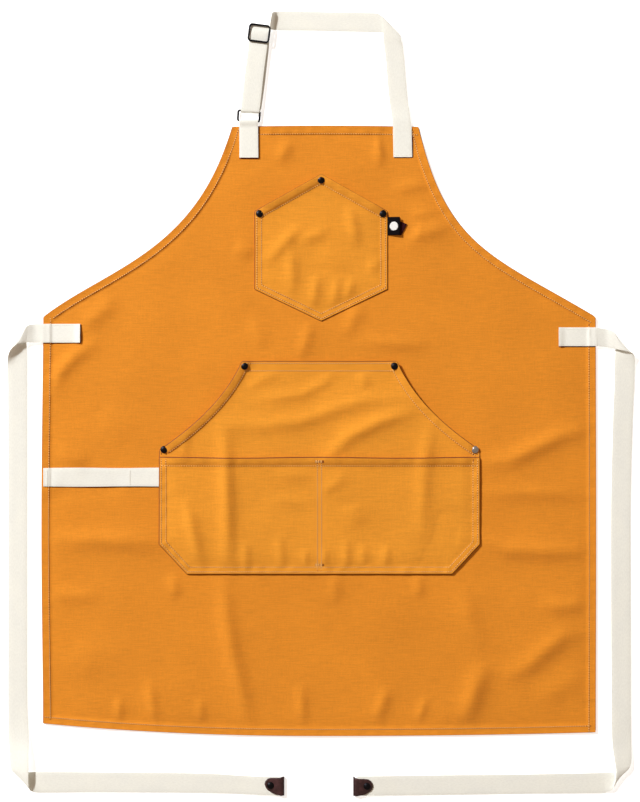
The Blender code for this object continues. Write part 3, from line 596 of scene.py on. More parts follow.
def stitches(name, paths, height, material=None, pitch=3.3 * MM, length=2.3 * MM, radius=0.62 * MM,
             slot="canvas"):
    """Rows of single stitches along paths of (x, y), lying on the surface height(x, y)."""
    centres, ways = [], []
    for path in paths:
        path = np.asarray(path, dtype=float)
        run = distance_along(path)
        at = np.arange(pitch / 2, run[-1] - pitch / 3, pitch)
        place, ahead = (np.stack([np.interp(at + on, run, path[:, 0]), np.interp(at + on, run, path[:, 1])],
                                 axis=-1) for on in (0, 1 * MM))
        centres.append(place)
        ways.append(unit(ahead - place))
    centre, way = np.vstack(centres), np.vstack(ways)
    start, end = centre - way * length / 2, centre + way * length / 2
    z0, z1 = height(start[:, 0], start[:, 1]), height(end[:, 0], end[:, 1])
    zero = np.zeros(len(centre))
    along = np.column_stack([way * length * 0.25, zero])
    across = np.column_stack([np.stack([-way[:, 1], way[:, 0]], axis=-1) * radius, zero])
    up = np.column_stack([zero, zero, zero + radius])
    middle = np.column_stack([centre, (z0 + z1) / 2 + 0.05 * MM])
    tip0 = np.column_stack([start, z0 - 0.15 * MM])
    tip1 = np.column_stack([end, z1 - 0.15 * MM])
    a, b = middle - along, middle + along
    vertices = np.stack([tip0, a + across, a + up, a - across, a - up,
                         b + across, b + up, b - across, b - up, tip1], axis=1)
    ends = np.array([[0, 2, 1], [0, 3, 2], [0, 4, 3], [0, 1, 4], [9, 5, 6], [9, 6, 7], [9, 7, 8], [9, 8, 5]])
    sides = np.array([[1, 2, 6, 5], [2, 3, 7, 6], [3, 4, 8, 7], [4, 1, 5, 8]])
    offsets = (np.arange(len(centre)) * 10)[:, None, None]
    faces = sum([(kind[None] + offsets).reshape(-1, kind.shape[1]).tolist() for kind in (ends, sides)], [])
    piece = add_piece(name, vertices.reshape(-1, 3), faces, material or thread)
    assign(piece, "apron", slot)


def seam_line(name, paths, height, width, material=None, step=2.0 * MM):
    """A dark strip of painted shade on the cloth, along a row of stitches or an edge where shade would fall."""
    vertices, faces = [], []
    for path in paths:
        path = resampled(path, step)
        if len(path) < 3:
            continue
        way = unit(np.gradient(path, axis=0))
        aside = np.column_stack([-way[:, 1], way[:, 0]]) * width / 2
        ground = height(path[:, 0], path[:, 1])
        base = len(vertices)
        for (px, py), (cx, cy), z in zip(path, aside, ground):
            vertices += [(px - cx, py - cy, z + 0.02 * MM), (px, py, z + 0.14 * MM),
                         (px + cx, py + cy, z + 0.02 * MM), (px, py, z - 0.3 * MM)]
        for k in range(len(path) - 1):
            for j in range(4):
                a, b = base + 4 * k + j, base + 4 * k + (j + 1) % 4
                faces.append([a, a + 4, b + 4, b])
        last = base + 4 * (len(path) - 1)
        faces += [[base, base + 1, base + 2, base + 3], [last + 3, last + 2, last + 1, last]]
    piece = add_piece(name, vertices, faces, material or edge_shade)
    assign(piece, "apron", "canvas")


def seam(name, paths, height):
    """A row of stitches over a dark strip of painted shade, in place of the hollow that the stitching draws in
    the canvas.
    """
    stitches(name, paths, height)
    seam_line(f"{name}_seam_painted_shade", paths, height, 1.25 * MM, seam_shade)


def webbing_seam(name, rows, lift):
    """Stitches through webbing, along rows in mm, lift over the cloth."""
    stitches(name, [np.array(row) * MM for row in rows], lambda x, y: apron_top(x, y) + lift * MM, pale_thread,
             pitch=2.9 * MM, radius=0.3 * MM, slot="webbing")


def box_rows(x0, x1, y0, y1):
    """The rows of a box of stitches: its lower, upper, first and second side."""
    return [[(x0, y0), (x1, y0)], [(x0, y1), (x1, y1)], [(x0, y0), (x0, y1)], [(x1, y0), (x1, y1)]]


# ---------------------------------------------------------------- pockets

class Pocket:
    """A patch sewn on the cloth below it: an upper and a lower edge at each x, folds, and open mouths."""

    def __init__(self, below, xs, low, high, lines, mouths, puff, seed, sewn):
        self.below, self.lines, self.mouths, self.puff, self.seed = below, lines, mouths, puff, seed
        self.xs, self.low, self.high = xs, low(xs), high(xs)
        self.sewn = sewn
        self.rim = np.vstack([np.column_stack([xs, self.low]), np.column_stack([xs, self.high])[::-1]])
        self.outline = Outline(self.rim)
        self.area = float(np.trapz(self.high - self.low, xs))

    def inside(self, x, y, margin=0.0, side_margin=0.0):
        """Which places are in the pocket, by at least the margins."""
        return ((x >= self.xs[0] + side_margin) & (x <= self.xs[-1] - side_margin)
                & (y >= np.interp(x, self.xs, self.low) + margin)
                & (y <= np.interp(x, self.xs, self.high) - margin))

    def clipped(self, path):
        """The part of a path that is inside the pocket."""
        path = resampled(path, 2 * MM)
        return path[self.inside(path[:, 0], path[:, 1], 1.2 * MM, MM)]

    def height(self, x, y):
        distance, run = self.outline.measure(x, y)
        held = line_distance(x, y, self.sewn)
        mouth = np.full(x.shape, 1e9)
        for line in self.mouths:
            mouth = np.minimum(mouth, line_distance(x, y, line))
        rise = folds(x, y, self.lines) * ease(held / (12 * MM)) + drift(x, y, 0.35 * MM, self.seed)
        rise += self.puff * ease(held / (26 * MM))
        rise += 2.7 * MM * np.exp(-(mouth / (9 * MM)) ** 2) * ease(held / (22 * MM))
        turned = 1.3 * MM * (1 - ease((mouth - 8 * MM) / (3.2 * MM))) * ease(held / (10 * MM))
        return (self.below(x, y) + 1.1 * MM + hem_height(distance, run, POCKET_HEM, 0.45 * MM) + turned
                + np.maximum(rise, 0))

    def build(self, name, node_name, rows):
        t = np.linspace(0, 1, rows)[:, None]
        x = np.broadcast_to(self.xs, (rows, len(self.xs)))
        y = self.low + (self.high - self.low) * t
        top = self.height(x, y)
        distance, _ = self.outline.measure(x, y)
        hem = 1 - ease((distance - POCKET_HEM) / (1.5 * MM))
        bottom = np.maximum(top - CANVAS - 0.5 * MM * hem, self.below(x, y) + 0.1 * MM)
        piece = slab(name, np.dstack([x, y, top]), np.dstack([x, y, bottom]), pocket_canvas)
        assign(piece, "apron", "canvas", node_name)
        width, length = np.ptp(self.xs), self.high.max() - self.low.min()


def spaced(*stops, step=2.1 * MM):
    """Places from stop to stop, each stop kept."""
    out = []
    for a, b in zip(stops, stops[1:]):
        out.append(np.linspace(a, b, max(2, int(round((b - a) / step)) + 1))[:-1])
    return np.concatenate(out + [[stops[-1]]])


CHEST_X = 2.3 * MM
CHEST_HALF = 89.5 * MM
CHEST_LEFT, CHEST_RIGHT = CHEST_X - CHEST_HALF, CHEST_X + CHEST_HALF
CHEST_TOP, SHOULDER = 269.15 * MM, 219.15 * MM
CHEST_LOW, CHEST_POINT = 114.15 * MM, 71.15 * MM
MOUTH_TOP, MOUTH_END = 15.65 * MM, -104.35 * MM
WAIST_NARROW, WAIST_WIDE = 104.5 * MM, 216.5 * MM
WAIST_CUT, WAIST_BOTTOM, WAIST_CUT_Y = 179.5 * MM, -271.35 * MM, -231.35 * MM
SEAM_DEPTHS = (2.4 * MM, 8.6 * MM)


def mouth_curve(side):
    """The waist pocket's curved mouth, from its top corner down."""
    f = np.linspace(0, 1, 60)
    half = WAIST_NARROW + (WAIST_WIDE - WAIST_NARROW) * (0.5 * f + 0.5 * f ** 2.2)
    return np.column_stack([side * half, MOUTH_TOP + (MOUTH_END - MOUTH_TOP) * f])


def chest_edge(middle, side):
    """An edge of the chest pocket, bent at its middle, as a function of x."""
    return lambda x: middle + (side - middle) * np.abs(x - CHEST_X) / CHEST_HALF


def waist_low(x):
    return np.interp(np.abs(x), [0, WAIST_CUT, WAIST_WIDE], [WAIST_BOTTOM, WAIST_BOTTOM, WAIST_CUT_Y])


def waist_high(x):
    curve = mouth_curve(1)
    return np.interp(np.abs(x), curve[:, 0], curve[:, 1])


def front_high(x):
    return np.full(np.shape(x), FRONT_TOP) - 1.2 * MM * np.sin(np.pi * np.abs(x) / WAIST_WIDE) ** 2


CHEST_SIDES = [(CHEST_LEFT, SHOULDER), (CHEST_LEFT, CHEST_LOW), (CHEST_X, CHEST_POINT),
               (CHEST_RIGHT, CHEST_LOW), (CHEST_RIGHT, SHOULDER)]
WAIST_SIDES = [(-WAIST_WIDE, MOUTH_END), (-WAIST_WIDE, WAIST_CUT_Y), (-WAIST_CUT, WAIST_BOTTOM),
               (WAIST_CUT, WAIST_BOTTOM), (WAIST_WIDE, WAIST_CUT_Y), (WAIST_WIDE, MOUTH_END)]
FRONT_SIDES = [(-WAIST_WIDE, FRONT_TOP)] + WAIST_SIDES[1:-1] + [(WAIST_WIDE, FRONT_TOP)]

chest = Pocket(panel_top, spaced(CHEST_LEFT, CHEST_X, CHEST_RIGHT), chest_edge(CHEST_POINT, CHEST_LOW),
               chest_edge(CHEST_TOP, SHOULDER), CHEST_FOLDS,
               [[(CHEST_LEFT, SHOULDER), (CHEST_X, CHEST_TOP), (CHEST_RIGHT, SHOULDER)]],
               0.9 * MM, 11, CHEST_SIDES)
waist = Pocket(panel_top, spaced(-WAIST_WIDE, -WAIST_CUT, -WAIST_NARROW, WAIST_NARROW, WAIST_CUT, WAIST_WIDE),
               waist_low, waist_high, WAIST_FOLDS, [mouth_curve(-1)[::4], mouth_curve(1)[::4]],
               1.1 * MM, 12, WAIST_SIDES)
front = Pocket(waist.height, spaced(-WAIST_WIDE, -WAIST_CUT, 0, WAIST_CUT, WAIST_WIDE), waist_low, front_high,
               FRONT_FOLDS, [[(-WAIST_WIDE, FRONT_TOP), (0, FRONT_TOP), (WAIST_WIDE, FRONT_TOP)]],
               0.9 * MM, 13, FRONT_SIDES)


def apron_top(x, y):
    """The height of the topmost cloth at each place."""
    x, y = np.atleast_1d(np.asarray(x, float)), np.atleast_1d(np.asarray(y, float))
    height = panel_top(x, y)
    for pocket in (chest, waist, front):
        inside = pocket.inside(x, y)
        if inside.any():
            height[inside] = pocket.height(x[inside], y[inside])
    return height


# ---------------------------------------------------------------- small parts

def rivet(name, radius, material, body, nodes, z=None):
    """A domed rivet cap with a rolled rim, standing for the CAD cap and post."""
    low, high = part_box(nodes[0])
    x, y = (low.x + high.x) / 2, (low.y + high.y) / 2
    ground = float(apron_top(x, y)[0]) if z is None else z
    # Each ring's radius as a share of the cap's, and its height in mm.
    profile = [(0.80, -0.6), (0.97, -0.3), (1, 0.25), (0.96, 0.75), (0.86, 1.02), (0.78, 1.0), (0.74, 1.08),
               (0.6, 1.42), (0.4, 1.72), (0.2, 1.86), (0.04, 1.9)]
    angles = np.linspace(0, 2 * np.pi, 40, endpoint=False)
    rings = [[(x + radius * share * np.cos(a), y + radius * share * np.sin(a), ground + rise * MM)
              for a in angles] for share, rise in profile]
    piece = tube(name, np.array(rings), material, sharp=40)
    assign(piece, body, "gunmetal", *nodes)
    return piece


def flat_patch(name, outline, height, thickness, material, step=1.5 * MM, round_edge=0.35 * MM):
    """A thin patch with an outline in (x, y), lying on height(x, y)."""
    made = bmesh.new()
    made.faces.new([made.verts.new((px, py, 0)) for px, py in outline])
    low, high = outline.min(0), outline.max(0)
    for axis in (0, 1):
        for cut in np.arange(low[axis] + step, high[axis], step):
            co, no = [0, 0, 0], [0, 0, 0]
            co[axis], no[axis] = cut, 1
            bmesh.ops.bisect_plane(made, geom=made.verts[:] + made.edges[:] + made.faces[:],
                                   plane_co=co, plane_no=no)
    made.verts.ensure_lookup_table()
    flat = np.array([v.co[:2] for v in made.verts])
    if sum(f.normal.z for f in made.faces) < 0:
        bmesh.ops.reverse_faces(made, faces=made.faces[:])
    rim = {v.index for v in made.verts if v.is_boundary}
    made.verts.index_update()
    faces = [[v.index for v in f.verts] for f in made.faces]
    loops = [e.link_loops[0] for e in made.edges if e.is_boundary]
    edges = [(loop.vert.index, loop.link_loop_next.vert.index) for loop in loops]
    made.free()
    n = len(flat)
    is_rim = np.array([i in rim for i in range(n)])
    ground = height(flat[:, 0], flat[:, 1])
    upper = np.column_stack([flat, ground + thickness - np.where(is_rim, round_edge, 0)])
    lower = np.column_stack([flat, ground])
    faces += [[i + n for i in f[::-1]] for f in faces] + [[a, a + n, b + n, b] for a, b in edges]
    return add_piece(name, np.vstack([upper, lower]), faces, material, uvs=np.vstack([flat, flat]))


def on_cloth(points):
    """Points (x, y, height over the cloth), in mm, laid on the cloth."""
    points = np.asarray(points, dtype=float)
    z = apron_top(points[:, 0] * MM, points[:, 1] * MM) / MM
    return [(x, y, h + up) for (x, y, up), h in zip(points, z)]


def sewn_webbing(name, left, right, length, *nodes, held="stretched", **more):
    """Webbing sewn on the apron. Its flat length is not used."""
    piece, _ = strap(name, left, right, **more)
    assign(piece, "apron", "webbing", *nodes)


def line_length(points):
    return float(np.linalg.norm(np.diff(points, axis=0), axis=1).sum())


# The two long edges of each tie, in mm: from the apron's side, down beside it, and in along the hem.
LEFT_LOW = [
    (-374.9, 41.6, 2.9), (-385.8, 41.7, 3.6), (-396.6, 42, 6.3), (-406.1, 40.3, 10), (-414.3, 35.6, 11.9),
    (-419.7, 28.1, 9.8), (-422.4, 19.3, 5.2), (-422.9, 9.8, 1.8), (-422.7, -9.2, 1), (-422.5, -36.3, 1),
    (-422.4, -171.9, 1), (-422.4, -334.6, 1), (-422.4, -443.1, 1.2), (-421.6, -490.5, 1.8),
    (-419.7, -521.7, 4.8), (-417.6, -535.3, 7.2), (-412.9, -540.7, 6), (-404.8, -541.1, 2.5),
    (-392.6, -541.1, 1.2), (-372.2, -540.7, 1), (-297.6, -541.1, 1), (-162, -542.7, 1),
    (-107.8, -545.5, 1.5), (-78, -546.8, 2.5), (-52.2, -547.5, 2.5),
]
LEFT_HIGH = [
    (-374.9, 66.9, 2.9), (-385.8, 66.8, 4), (-393.9, 65.4, 6.6), (-398.7, 61.4, 7.7), (-399.3, 54.6, 4.5),
    (-398, 47.8, 2.2), (-397.3, 39.7, 1.3), (-396.6, 26.1, 1), (-396.6, -9.2, 1), (-396.6, -36.3, 1),
    (-396.6, -171.9, 1), (-396.6, -334.6, 1), (-396.2, -443.1, 1.2), (-393.9, -490.5, 3.5),
    (-393.5, -524.4, 9.6), (-393.5, -544.8, 11.2), (-393.1, -559.7, 9), (-390.5, -566.2, 5.2),
    (-383.1, -568.2, 2), (-365.4, -568.9, 1), (-297.6, -568.2, 1), (-162, -569.2, 1), (-107.8, -570.5, 1.5),
    (-78, -571.9, 2.5), (-52.2, -572.6, 2.5),
]
RIGHT_LOW = [
    (374.9, 36.8, 2.9), (388.5, 35.3, 4), (400.7, 32.9, 6.9), (410.2, 30.8, 10), (419, 28.8, 11.2),
    (425.1, 25.4, 9), (427.4, 19.3, 5.2), (427.7, 7.1, 2), (427.3, -15.9, 1), (425.1, -63.4, 1),
    (422.4, -171.9, 1), (422.4, -307.5, 1), (422.4, -443.1, 1.2), (422.9, -497.3, 1.8),
    (422.7, -524.4, 4.4), (419, -535.3, 6.1), (411.5, -541.4, 4.5), (402.1, -541.4, 2.5),
    (388.5, -541.5, 1.2), (366.8, -542.3, 1), (271.9, -544.1, 1), (177, -545, 1), (109.2, -545.9, 1.5),
    (79.3, -546.1, 2.5), (50.9, -546.4, 2.5),
]
RIGHT_HIGH = [
    (374.9, 62.2, 2.9), (388.5, 60, 4.5), (396.6, 57.3, 7.7), (400.7, 53.2, 8.8), (402.1, 47.8, 6),
    (402.1, 39.7, 3), (401.1, 28.8, 1.5), (400.3, 15.3, 1), (400, -15.9, 1), (398, -63.4, 1),
    (395.5, -171.9, 1), (395.3, -307.5, 1), (396, -443.1, 1.2), (396.6, -497.3, 3), (399.7, -525.8, 7.2),
    (401.4, -540.7, 8.4), (400, -555.6, 6.6), (397.3, -564.4, 4.5), (389.9, -567.8, 2.2),
    (374.9, -569.6, 1), (271.9, -570.5, 1), (177, -571.9, 1), (109.2, -572.6, 1.5), (79.3, -572.7, 2.5),
    (50.9, -572.7, 2.5),
]
TIE_SIDES = {"left": (-1, 5, LEFT_LOW, LEFT_HIGH), "right": (1, 6, RIGHT_LOW, RIGHT_HIGH)}


def waist_tie(side):
    """A waist tie, with a soft folded corner by the apron and another at the hem."""
    s, seed, *edges = TIE_SIDES[side]
    low, high = (np.array(edge) for edge in edges)
    wander = np.random.default_rng(seed)
    for edge in (low, high):
        flat = edge[:, 2] < 1.5
        edge[flat, 2] = np.maximum(edge[flat, 2] + wander.uniform(-0.1, 0.5, flat.sum()), 0.95)
        step = apron_top(edge[0, 0] * MM, edge[0, 1] * MM)[0] / MM + 0.85
        edge[0, 2], edge[1, 2] = step, 0.6 * step + 0.4 * edge[1, 2]
    root, _ = strap(f"{side}_tie_root", low[:3], high[:3], step=1 * MM)
    piece, middle = strap(f"{side}_waist_tie", low[2:], high[2:])
    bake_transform(root)
    assign(piece, f"{side}_tie", "webbing", f"{side}_tie")
    tuple(middle[0])
    line_length(middle)
    [tuple(p) for p in middle]
    tie_tip(side, s)


TIP_OUTLINES = {
    "left": [(-48.3, -546.6), (-48.2, -572.2), (-52, -572.6), (-56.3, -571.2), (-62, -569.8), (-66.5, -567.4),
             (-70.5, -564.6), (-73.2, -560.6), (-74.4, -556.6), (-73.4, -552.6), (-70.6, -549.6),
             (-66.5, -548.2), (-60, -548.2), (-53, -548.0), (-51, -547.2)],
    "right": [(46.3, -546.6), (46.4, -572.6), (50, -573.2), (54.9, -572.3), (60, -571.4), (64.4, -569.6),
              (68.6, -566.8), (71.4, -563.4), (72.4, -560.2), (71.8, -556.2), (69.6, -552.6),
              (66, -550.4), (60, -549.6), (54, -549.6), (48.6, -548.8)],
}


def tie_tip(side, s):
    """A leather tip folded over the end of a tie and riveted."""
    low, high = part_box(f"{side}_tie_tip")
    fold = high.x if side == "left" else low.x
    outline = np.array(TIP_OUTLINES[side]) * MM
    middle = outline.mean(0)

    def pinch(x):
        return 1.1 * MM * np.exp(-(np.abs(x - fold) / (2.6 * MM)) ** 2)

    def upper(x, y):
        from_fold = np.abs(x - fold)
        bulge = 0.35 * MM * np.sin(from_fold / (3.7 * MM))
        return 4.15 * MM - pinch(x) - 0.7 * MM * ease((from_fold - 12 * MM) / (12 * MM)) + bulge

    def lower(x, y):
        return 0.35 * MM + pinch(x)

    def bend(depth, rise):
        return np.array([[(fold - s * depth * np.cos(a) + s * 1.2 * MM, y, 2.9 * MM + rise * np.sin(a))
                          for a in angles] for y in ys])

    angles = np.linspace(-np.pi / 2, np.pi / 2, 9)
    ys = np.linspace(outline[:, 1].min() + 0.6 * MM, outline[:, 1].max() - 0.3 * MM, 14)
    top = flat_patch(f"{side}_tip_front", outline, upper, 1.3 * MM, leather, step=1.3 * MM)
    shrunk = middle + (outline - middle) * 0.985
    under = flat_patch(f"{side}_tip_back", shrunk, lower, 1.2 * MM, leather, step=1.6 * MM)
    fold_piece = slab(f"{side}_tip_fold", bend(1.5 * MM, 2.1 * MM), bend(0.5 * MM, 1.0 * MM), leather)
    pieces = [top, under, fold_piece]
    for piece in pieces:
        assign(piece, f"{side}_tie", "leather")
    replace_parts(top, f"{side}_tie_tip")
    cap = rivet(f"{side}_tip_rivet", 4.7 * MM, gunmetal, f"{side}_tie",
                [f"{side}_tip_rivet_cap", f"{side}_tip_rivet_post"], z=5.2 * MM)
    return pieces + [cap]


def tie_tab(side, s, y):
    """The webbing tab that sews a tie to the apron's side; its inner end curls up."""
    xs = np.linspace(376.4, 324.2, 20) * s
    curl = 1.9 * ease((334 - np.abs(xs)) / 10)
    sewn_webbing(f"{side}_tab", on_cloth([(x, y - 12.7, 1.4 + up) for x, up in zip(xs, curl)]),
                 on_cloth([(x, y + 12.7, 0.8 + 0.7 * up) for x, up in zip(xs, curl)]), 0.0525, f"{side}_tie_tab")
    webbing_seam(f"{side}_tab_stitches", box_rows(s * 327.2, s * 366, y - 10.6, y + 10.6), 1.75)


def towel_loop():
    """A webbing strap sewn down at both ends, standing a little off the cloth between them."""
    xs = np.linspace(-374.3, -216.8, 60)
    arch = 1.3 * np.sin(np.pi * np.clip((xs + 366) / (366 - 226), 0, 1)) ** 2
    low, high = (on_cloth([(x, y + 0.3 * np.sin(x / wave), 0.8 + a) for x, a in zip(xs, arch)])
                 for y, wave in ((-153.5, 23), (-128.2, 19)))
    sewn_webbing("towel_strap", low, high, 0.158, "towel_loop")
    webbing_seam("towel_strap_stitches", box_rows(-369.2, -256.9, -151.5, -130.2)[2:], 2.4)


def sewn_strap_end():
    """The neck strap's right end, sewn down on the bib."""
    ys = np.linspace(330.8, 293.0, 16)
    centre = np.interp(ys, [292, 331], [113.0, 112.2])
    left, right = (on_cloth([(c + aside, y, 0.85) for c, y in zip(centre, ys)]) for aside in (-12.7, 12.7))
    sewn_webbing("strap_sewn_end", left, right, 0.038, "neck_strap_sewn_end")
    webbing_seam("strap_sewn_end_stitches", box_rows(101.9, 123.6, 295.6, 328.4), 1.5)


RING_BAR = (-96.1, 341.65, 3.75)  # the middle of the ring's lower bar, in mm


def ring_tab():
    """The webbing tab through the ring's lower bar, folded double and sewn on the bib."""
    x, bar_y, bar_z = RING_BAR
    # The upper of the two layers, up to the bar, round it and back under.
    up = [(y, z + 2.05) for _, y, z in on_cloth([(x, y, 0) for y in np.linspace(292.2, 334, 20)])]
    sewn = len(up)
    up += [(336.2, 4.9), (339.0, 5.7), (341.6, 6.0)]
    angles = np.radians([60, 30, 0, -30, -60, -90])
    up += [(bar_y + 2.25 * math.cos(a), bar_z + 2.25 * math.sin(a)) for a in angles]
    up += [(336.2, 1.1)]
    left = [(x - 12.75 + 0.052 * (y - bar_y) * -0.2, y, z) for y, z in up]
    right = [(x + 12.75 + 0.052 * (y - bar_y) * -0.2, y, z + 0.35 * (k < sewn)) for k, (y, z) in enumerate(up)]
    sewn_webbing("ring_tab_front", left, right, 0.06, "ring_tab", held="folded")
    left, right = (on_cloth([(x + aside, y, 0.75) for y in np.linspace(292.8, 333.5, 18)])
                   for aside in (-12.5, 12.5))
    sewn_webbing("ring_tab_back", left, right, 0.041, held="folded", thickness=1.2 * MM)
    webbing_seam("ring_tab_stitches", box_rows(x - 10.6, x + 10.6, 294.8, 329.5)[:2], 2.75)


def strap_edges(centre, rise):
    """The edges of a strap from its middle (y, x, z) in mm; rise is how much higher its left edge starts."""
    return [(x - 12.6, y + rise, z) for y, x, z in centre], [(x + 12.6, y - 0.9, z) for y, x, z in centre]


def neck_strap():
    """The neck strap: up the right, a folded corner, across the top, and a curl into the slider."""
    bib = [(y, float(apron_top(0.1123, y * MM)[0]) / MM + 0.85) for y in (330.7, 333.6)]
    left = [(99.7, y, z) for y, z in bib] + [
        (98.4, 343.4, 2.9), (96.9, 357, 1.8), (94.6, 370.5, 1.5), (92.0, 397.7, 1.5), (89.9, 424.8, 1.6),
        (87.5, 445, 1.9), (86.2, 462, 2.8), (85.6, 474, 3.1), (85.0, 481.5, 3.0), (84.3, 484.4, 2.3),
        (83.2, 485.6, 1.5), (79.0, 488.0, 1.1), (70, 488.9, 1.0), (20, 489.9, 1.0), (-30, 490.8, 1.1),
        (-50, 490.9, 1.5), (-58.8, 490.0, 3.2), (-63.4, 487.9, 9.6), (-65.2, 483.4, 8.4), (-66.6, 475.4, 3.6),
        (-72.5, 468.2, 1.8), (-83.4, 466.8, 2.0), (-93.6, 469.0, 2.6)]
    right = [(125.0, y, z) for y, z in bib] + [
        (123.6, 343.4, 2.9), (122.1, 357, 1.9), (119.8, 370.5, 1.5), (117.4, 397.7, 1.5), (115.2, 424.8, 1.6),
        (112.9, 445, 1.9), (111.4, 450, 2.8), (110.4, 454.2, 3.0), (109.9, 457.0, 2.8), (109.3, 458.6, 2.2),
        (107.0, 459.5, 1.4), (96.0, 461.2, 1.1), (80, 462.6, 1.0), (20, 464.3, 1.0), (-30, 465.2, 1.1),
        (-53, 465.5, 1.5), (-62.4, 465.4, 3.2), (-67.2, 465.6, 9.2), (-68.4, 464.2, 7.4), (-68.0, 463.2, 4.0),
        (-69.0, 463.4, 2.4), (-69.6, 465.5, 2.0), (-69.6, 467.6, 2.6)]
    piece, middle = strap("neck_loop_strap", left, right, step=1.6 * MM)
    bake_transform(piece)
    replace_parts(piece, "neck_strap")
    line_length(middle)


def strap_to_ring():
    """The strap's two layers below the slider: one on the floor, and one over it to the ring's upper bar."""
    leg, _ = strap("strap_leg", *strap_edges([
        (359.5, -91.6, 1.0), (380, -88.6, 1.0), (397.7, -86.2, 1.0), (424.8, -83.2, 1.0), (440, -81.4, 1.0),
        (450, -80.8, 1.1), (455.5, -80.8, 1.3)], 0.5), step=2 * MM)
    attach(leg, "neck_loop")
    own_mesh(leg)

    left, right = strap_edges([
        (471.0, -80.0, 6.2), (466.5, -80.6, 6.4), (462.5, -81.2, 7.1), (459.0, -81.6, 7.3), (455.0, -82.0, 7.0),
        (450.5, -82.6, 6.4), (446, -83.1, 6.4), (438.3, -84.0, 6.5), (424.8, -85.9, 6.6), (397.7, -89.2, 6.5),
        (375, -91.6, 6.4), (362, -93.2, 6.2), (357.4, -93.9, 6.1)], 0.4)
    up, across = np.array([0.0523, 0.9986]), np.array([0.9986, -0.0523])
    bar = np.array(RING_BAR[:2]) + 14 * up
    for a in np.radians([60, 25, -10, -45, -80]):
        for edge, aside in ((left, -12.7), (right, 12.7)):
            place = bar + across * (aside + 1.6) - up * 2.3 * math.cos(a)
            edge.append((place[0], place[1], RING_BAR[2] + 2.3 * math.sin(a)))
    left.append((-91.6 - 12.6, 360.5, 1.0))
    right.append((-91.6 + 12.6, 359.1, 1.0))
    piece, middle = strap("strap_to_ring", left, right, step=1.4 * MM)
    assign(piece, "neck_loop", "webbing", "strap_return_leg")
    line_length(middle)


SLIDER_UP, SLIDER_ACROSS = np.array([0.12876, 0.99168]), np.array([0.99168, -0.12876])


def slider_loop():
    """The strap's end, folded round the slider's middle bar."""
    middle = np.array([-82.10, 458.43])
    left, right = [], []
    for a in np.radians(np.linspace(250, -70, 15)):
        for edge, aside in ((left, -12.2), (right, 12.2)):
            place = middle + SLIDER_ACROSS * aside + SLIDER_UP * 2.2 * math.cos(a)
            edge.append((place[0], place[1], 3.8 + 1.45 * math.sin(a)))
    piece, _ = strap("slider_end_loop", left, right, across=8, thickness=0.9 * MM)
    assign(piece, "slider", "webbing", "strap_end_loop")


def wire(name, points, radius, closed):
    """A round wire of the slider, bent along points in mm."""
    points = np.asarray(points) * MM
    if closed:
        way = unit(np.roll(points, -1, axis=0) - np.roll(points, 1, axis=0))
    else:
        way = unit(np.gradient(points, axis=0))
    side = unit(np.cross(way, (0, 0, 1)))
    rise = np.cross(side, way)
    angles = np.linspace(0, 2 * np.pi, 14, endpoint=False)
    rings = (points[:, None] + side[:, None] * np.cos(angles)[None, :, None] * radius
             + rise[:, None] * np.sin(angles)[None, :, None] * radius)
    piece = tube(name, rings, gunmetal, closed=closed)
    assign(piece, "slider", "gunmetal")
    return piece


def slider():
    """The wire slider: a rounded frame over the strap and a middle bar under it."""
    middle, radius = np.array([-81.6, 459.9]), 1.35
    frame_z, bar_z, riser_z = 8.75, 3.8, 3.9
    corner, half_w, half_l = 3.6, 15.05 - radius, 12.5 - radius
    path = []
    for cx, cy, start in ((1, 1, 0), (-1, 1, 90), (-1, -1, 180), (1, -1, 270)):
        for a in np.radians(np.linspace(start, start + 90, 7)):
            path.append((cx * (half_w - corner) + corner * math.cos(a),
                         cy * (half_l - corner) + corner * math.sin(a)))
    path = np.array(path)
    spots = middle + path[:, :1] * SLIDER_ACROSS + path[:, 1:] * SLIDER_UP
    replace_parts(wire("slider_frame", np.column_stack([spots, np.full(len(spots), frame_z)]), radius * MM, True),
                "slider")
    a, b = middle - SLIDER_ACROSS * half_w, middle + SLIDER_ACROSS * half_w
    wire("slider_bar", [(*a, frame_z), (*(a * 0.995 + b * 0.005), riser_z), (*middle, bar_z),
                        (*(b * 0.995 + a * 0.005), riser_z), (*b, frame_z)], 0.85 * MM, False)


def label():
    """A small folded woven label standing open, with a plain round mark."""
    hinge = 92.5
    back_outline = [(hinge, 211.6), (hinge, 187.4), (111.2, 187.2), (118.7, 202.0), (109.6, 205.8),
                    (108.9, 211.4)]
    front_outline = [(hinge, 211.9), (hinge, 187.0), (109.0, 187.3), (109.3, 204.4), (109.2, 206.2),
                     (108.8, 211.7)]
    angles = np.linspace(0, 2 * np.pi, 40, endpoint=False)
    dot = np.column_stack([100.8 + 5.6 * np.cos(angles), 199.3 + 6.0 * np.sin(angles)])

    def back_height(x, y):
        return 2.4 * MM + 1.0 * MM * ease((x - hinge * MM) / (24 * MM))

    def front_height(x, y):
        t = (x - hinge * MM) / (17 * MM)
        return 3.25 * MM + 3.4 * MM * ease(t) + 0.25 * MM * ease(3 * t) * np.sin(y / (4 * MM))

    # The back layer reaches out past the front to lower right and carries the painted-shadow colour there.
    back = flat_patch("label_back", np.array(back_outline) * MM, back_height, 0.55 * MM, label_back_painted_shade)
    front = flat_patch("label_front", np.array(front_outline) * MM, front_height, 0.55 * MM, label_cloth)
    mark = flat_patch("label_dot", dot * MM, lambda x, y: front_height(x, y) + 0.5 * MM, 0.12 * MM, label_white,
                      round_edge=0.02 * MM)
    for piece in (back, front, mark):
        assign(piece, "label", "label_cloth")
    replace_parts(front, "label")


# ---------------------------------------------------------------- seams and edges

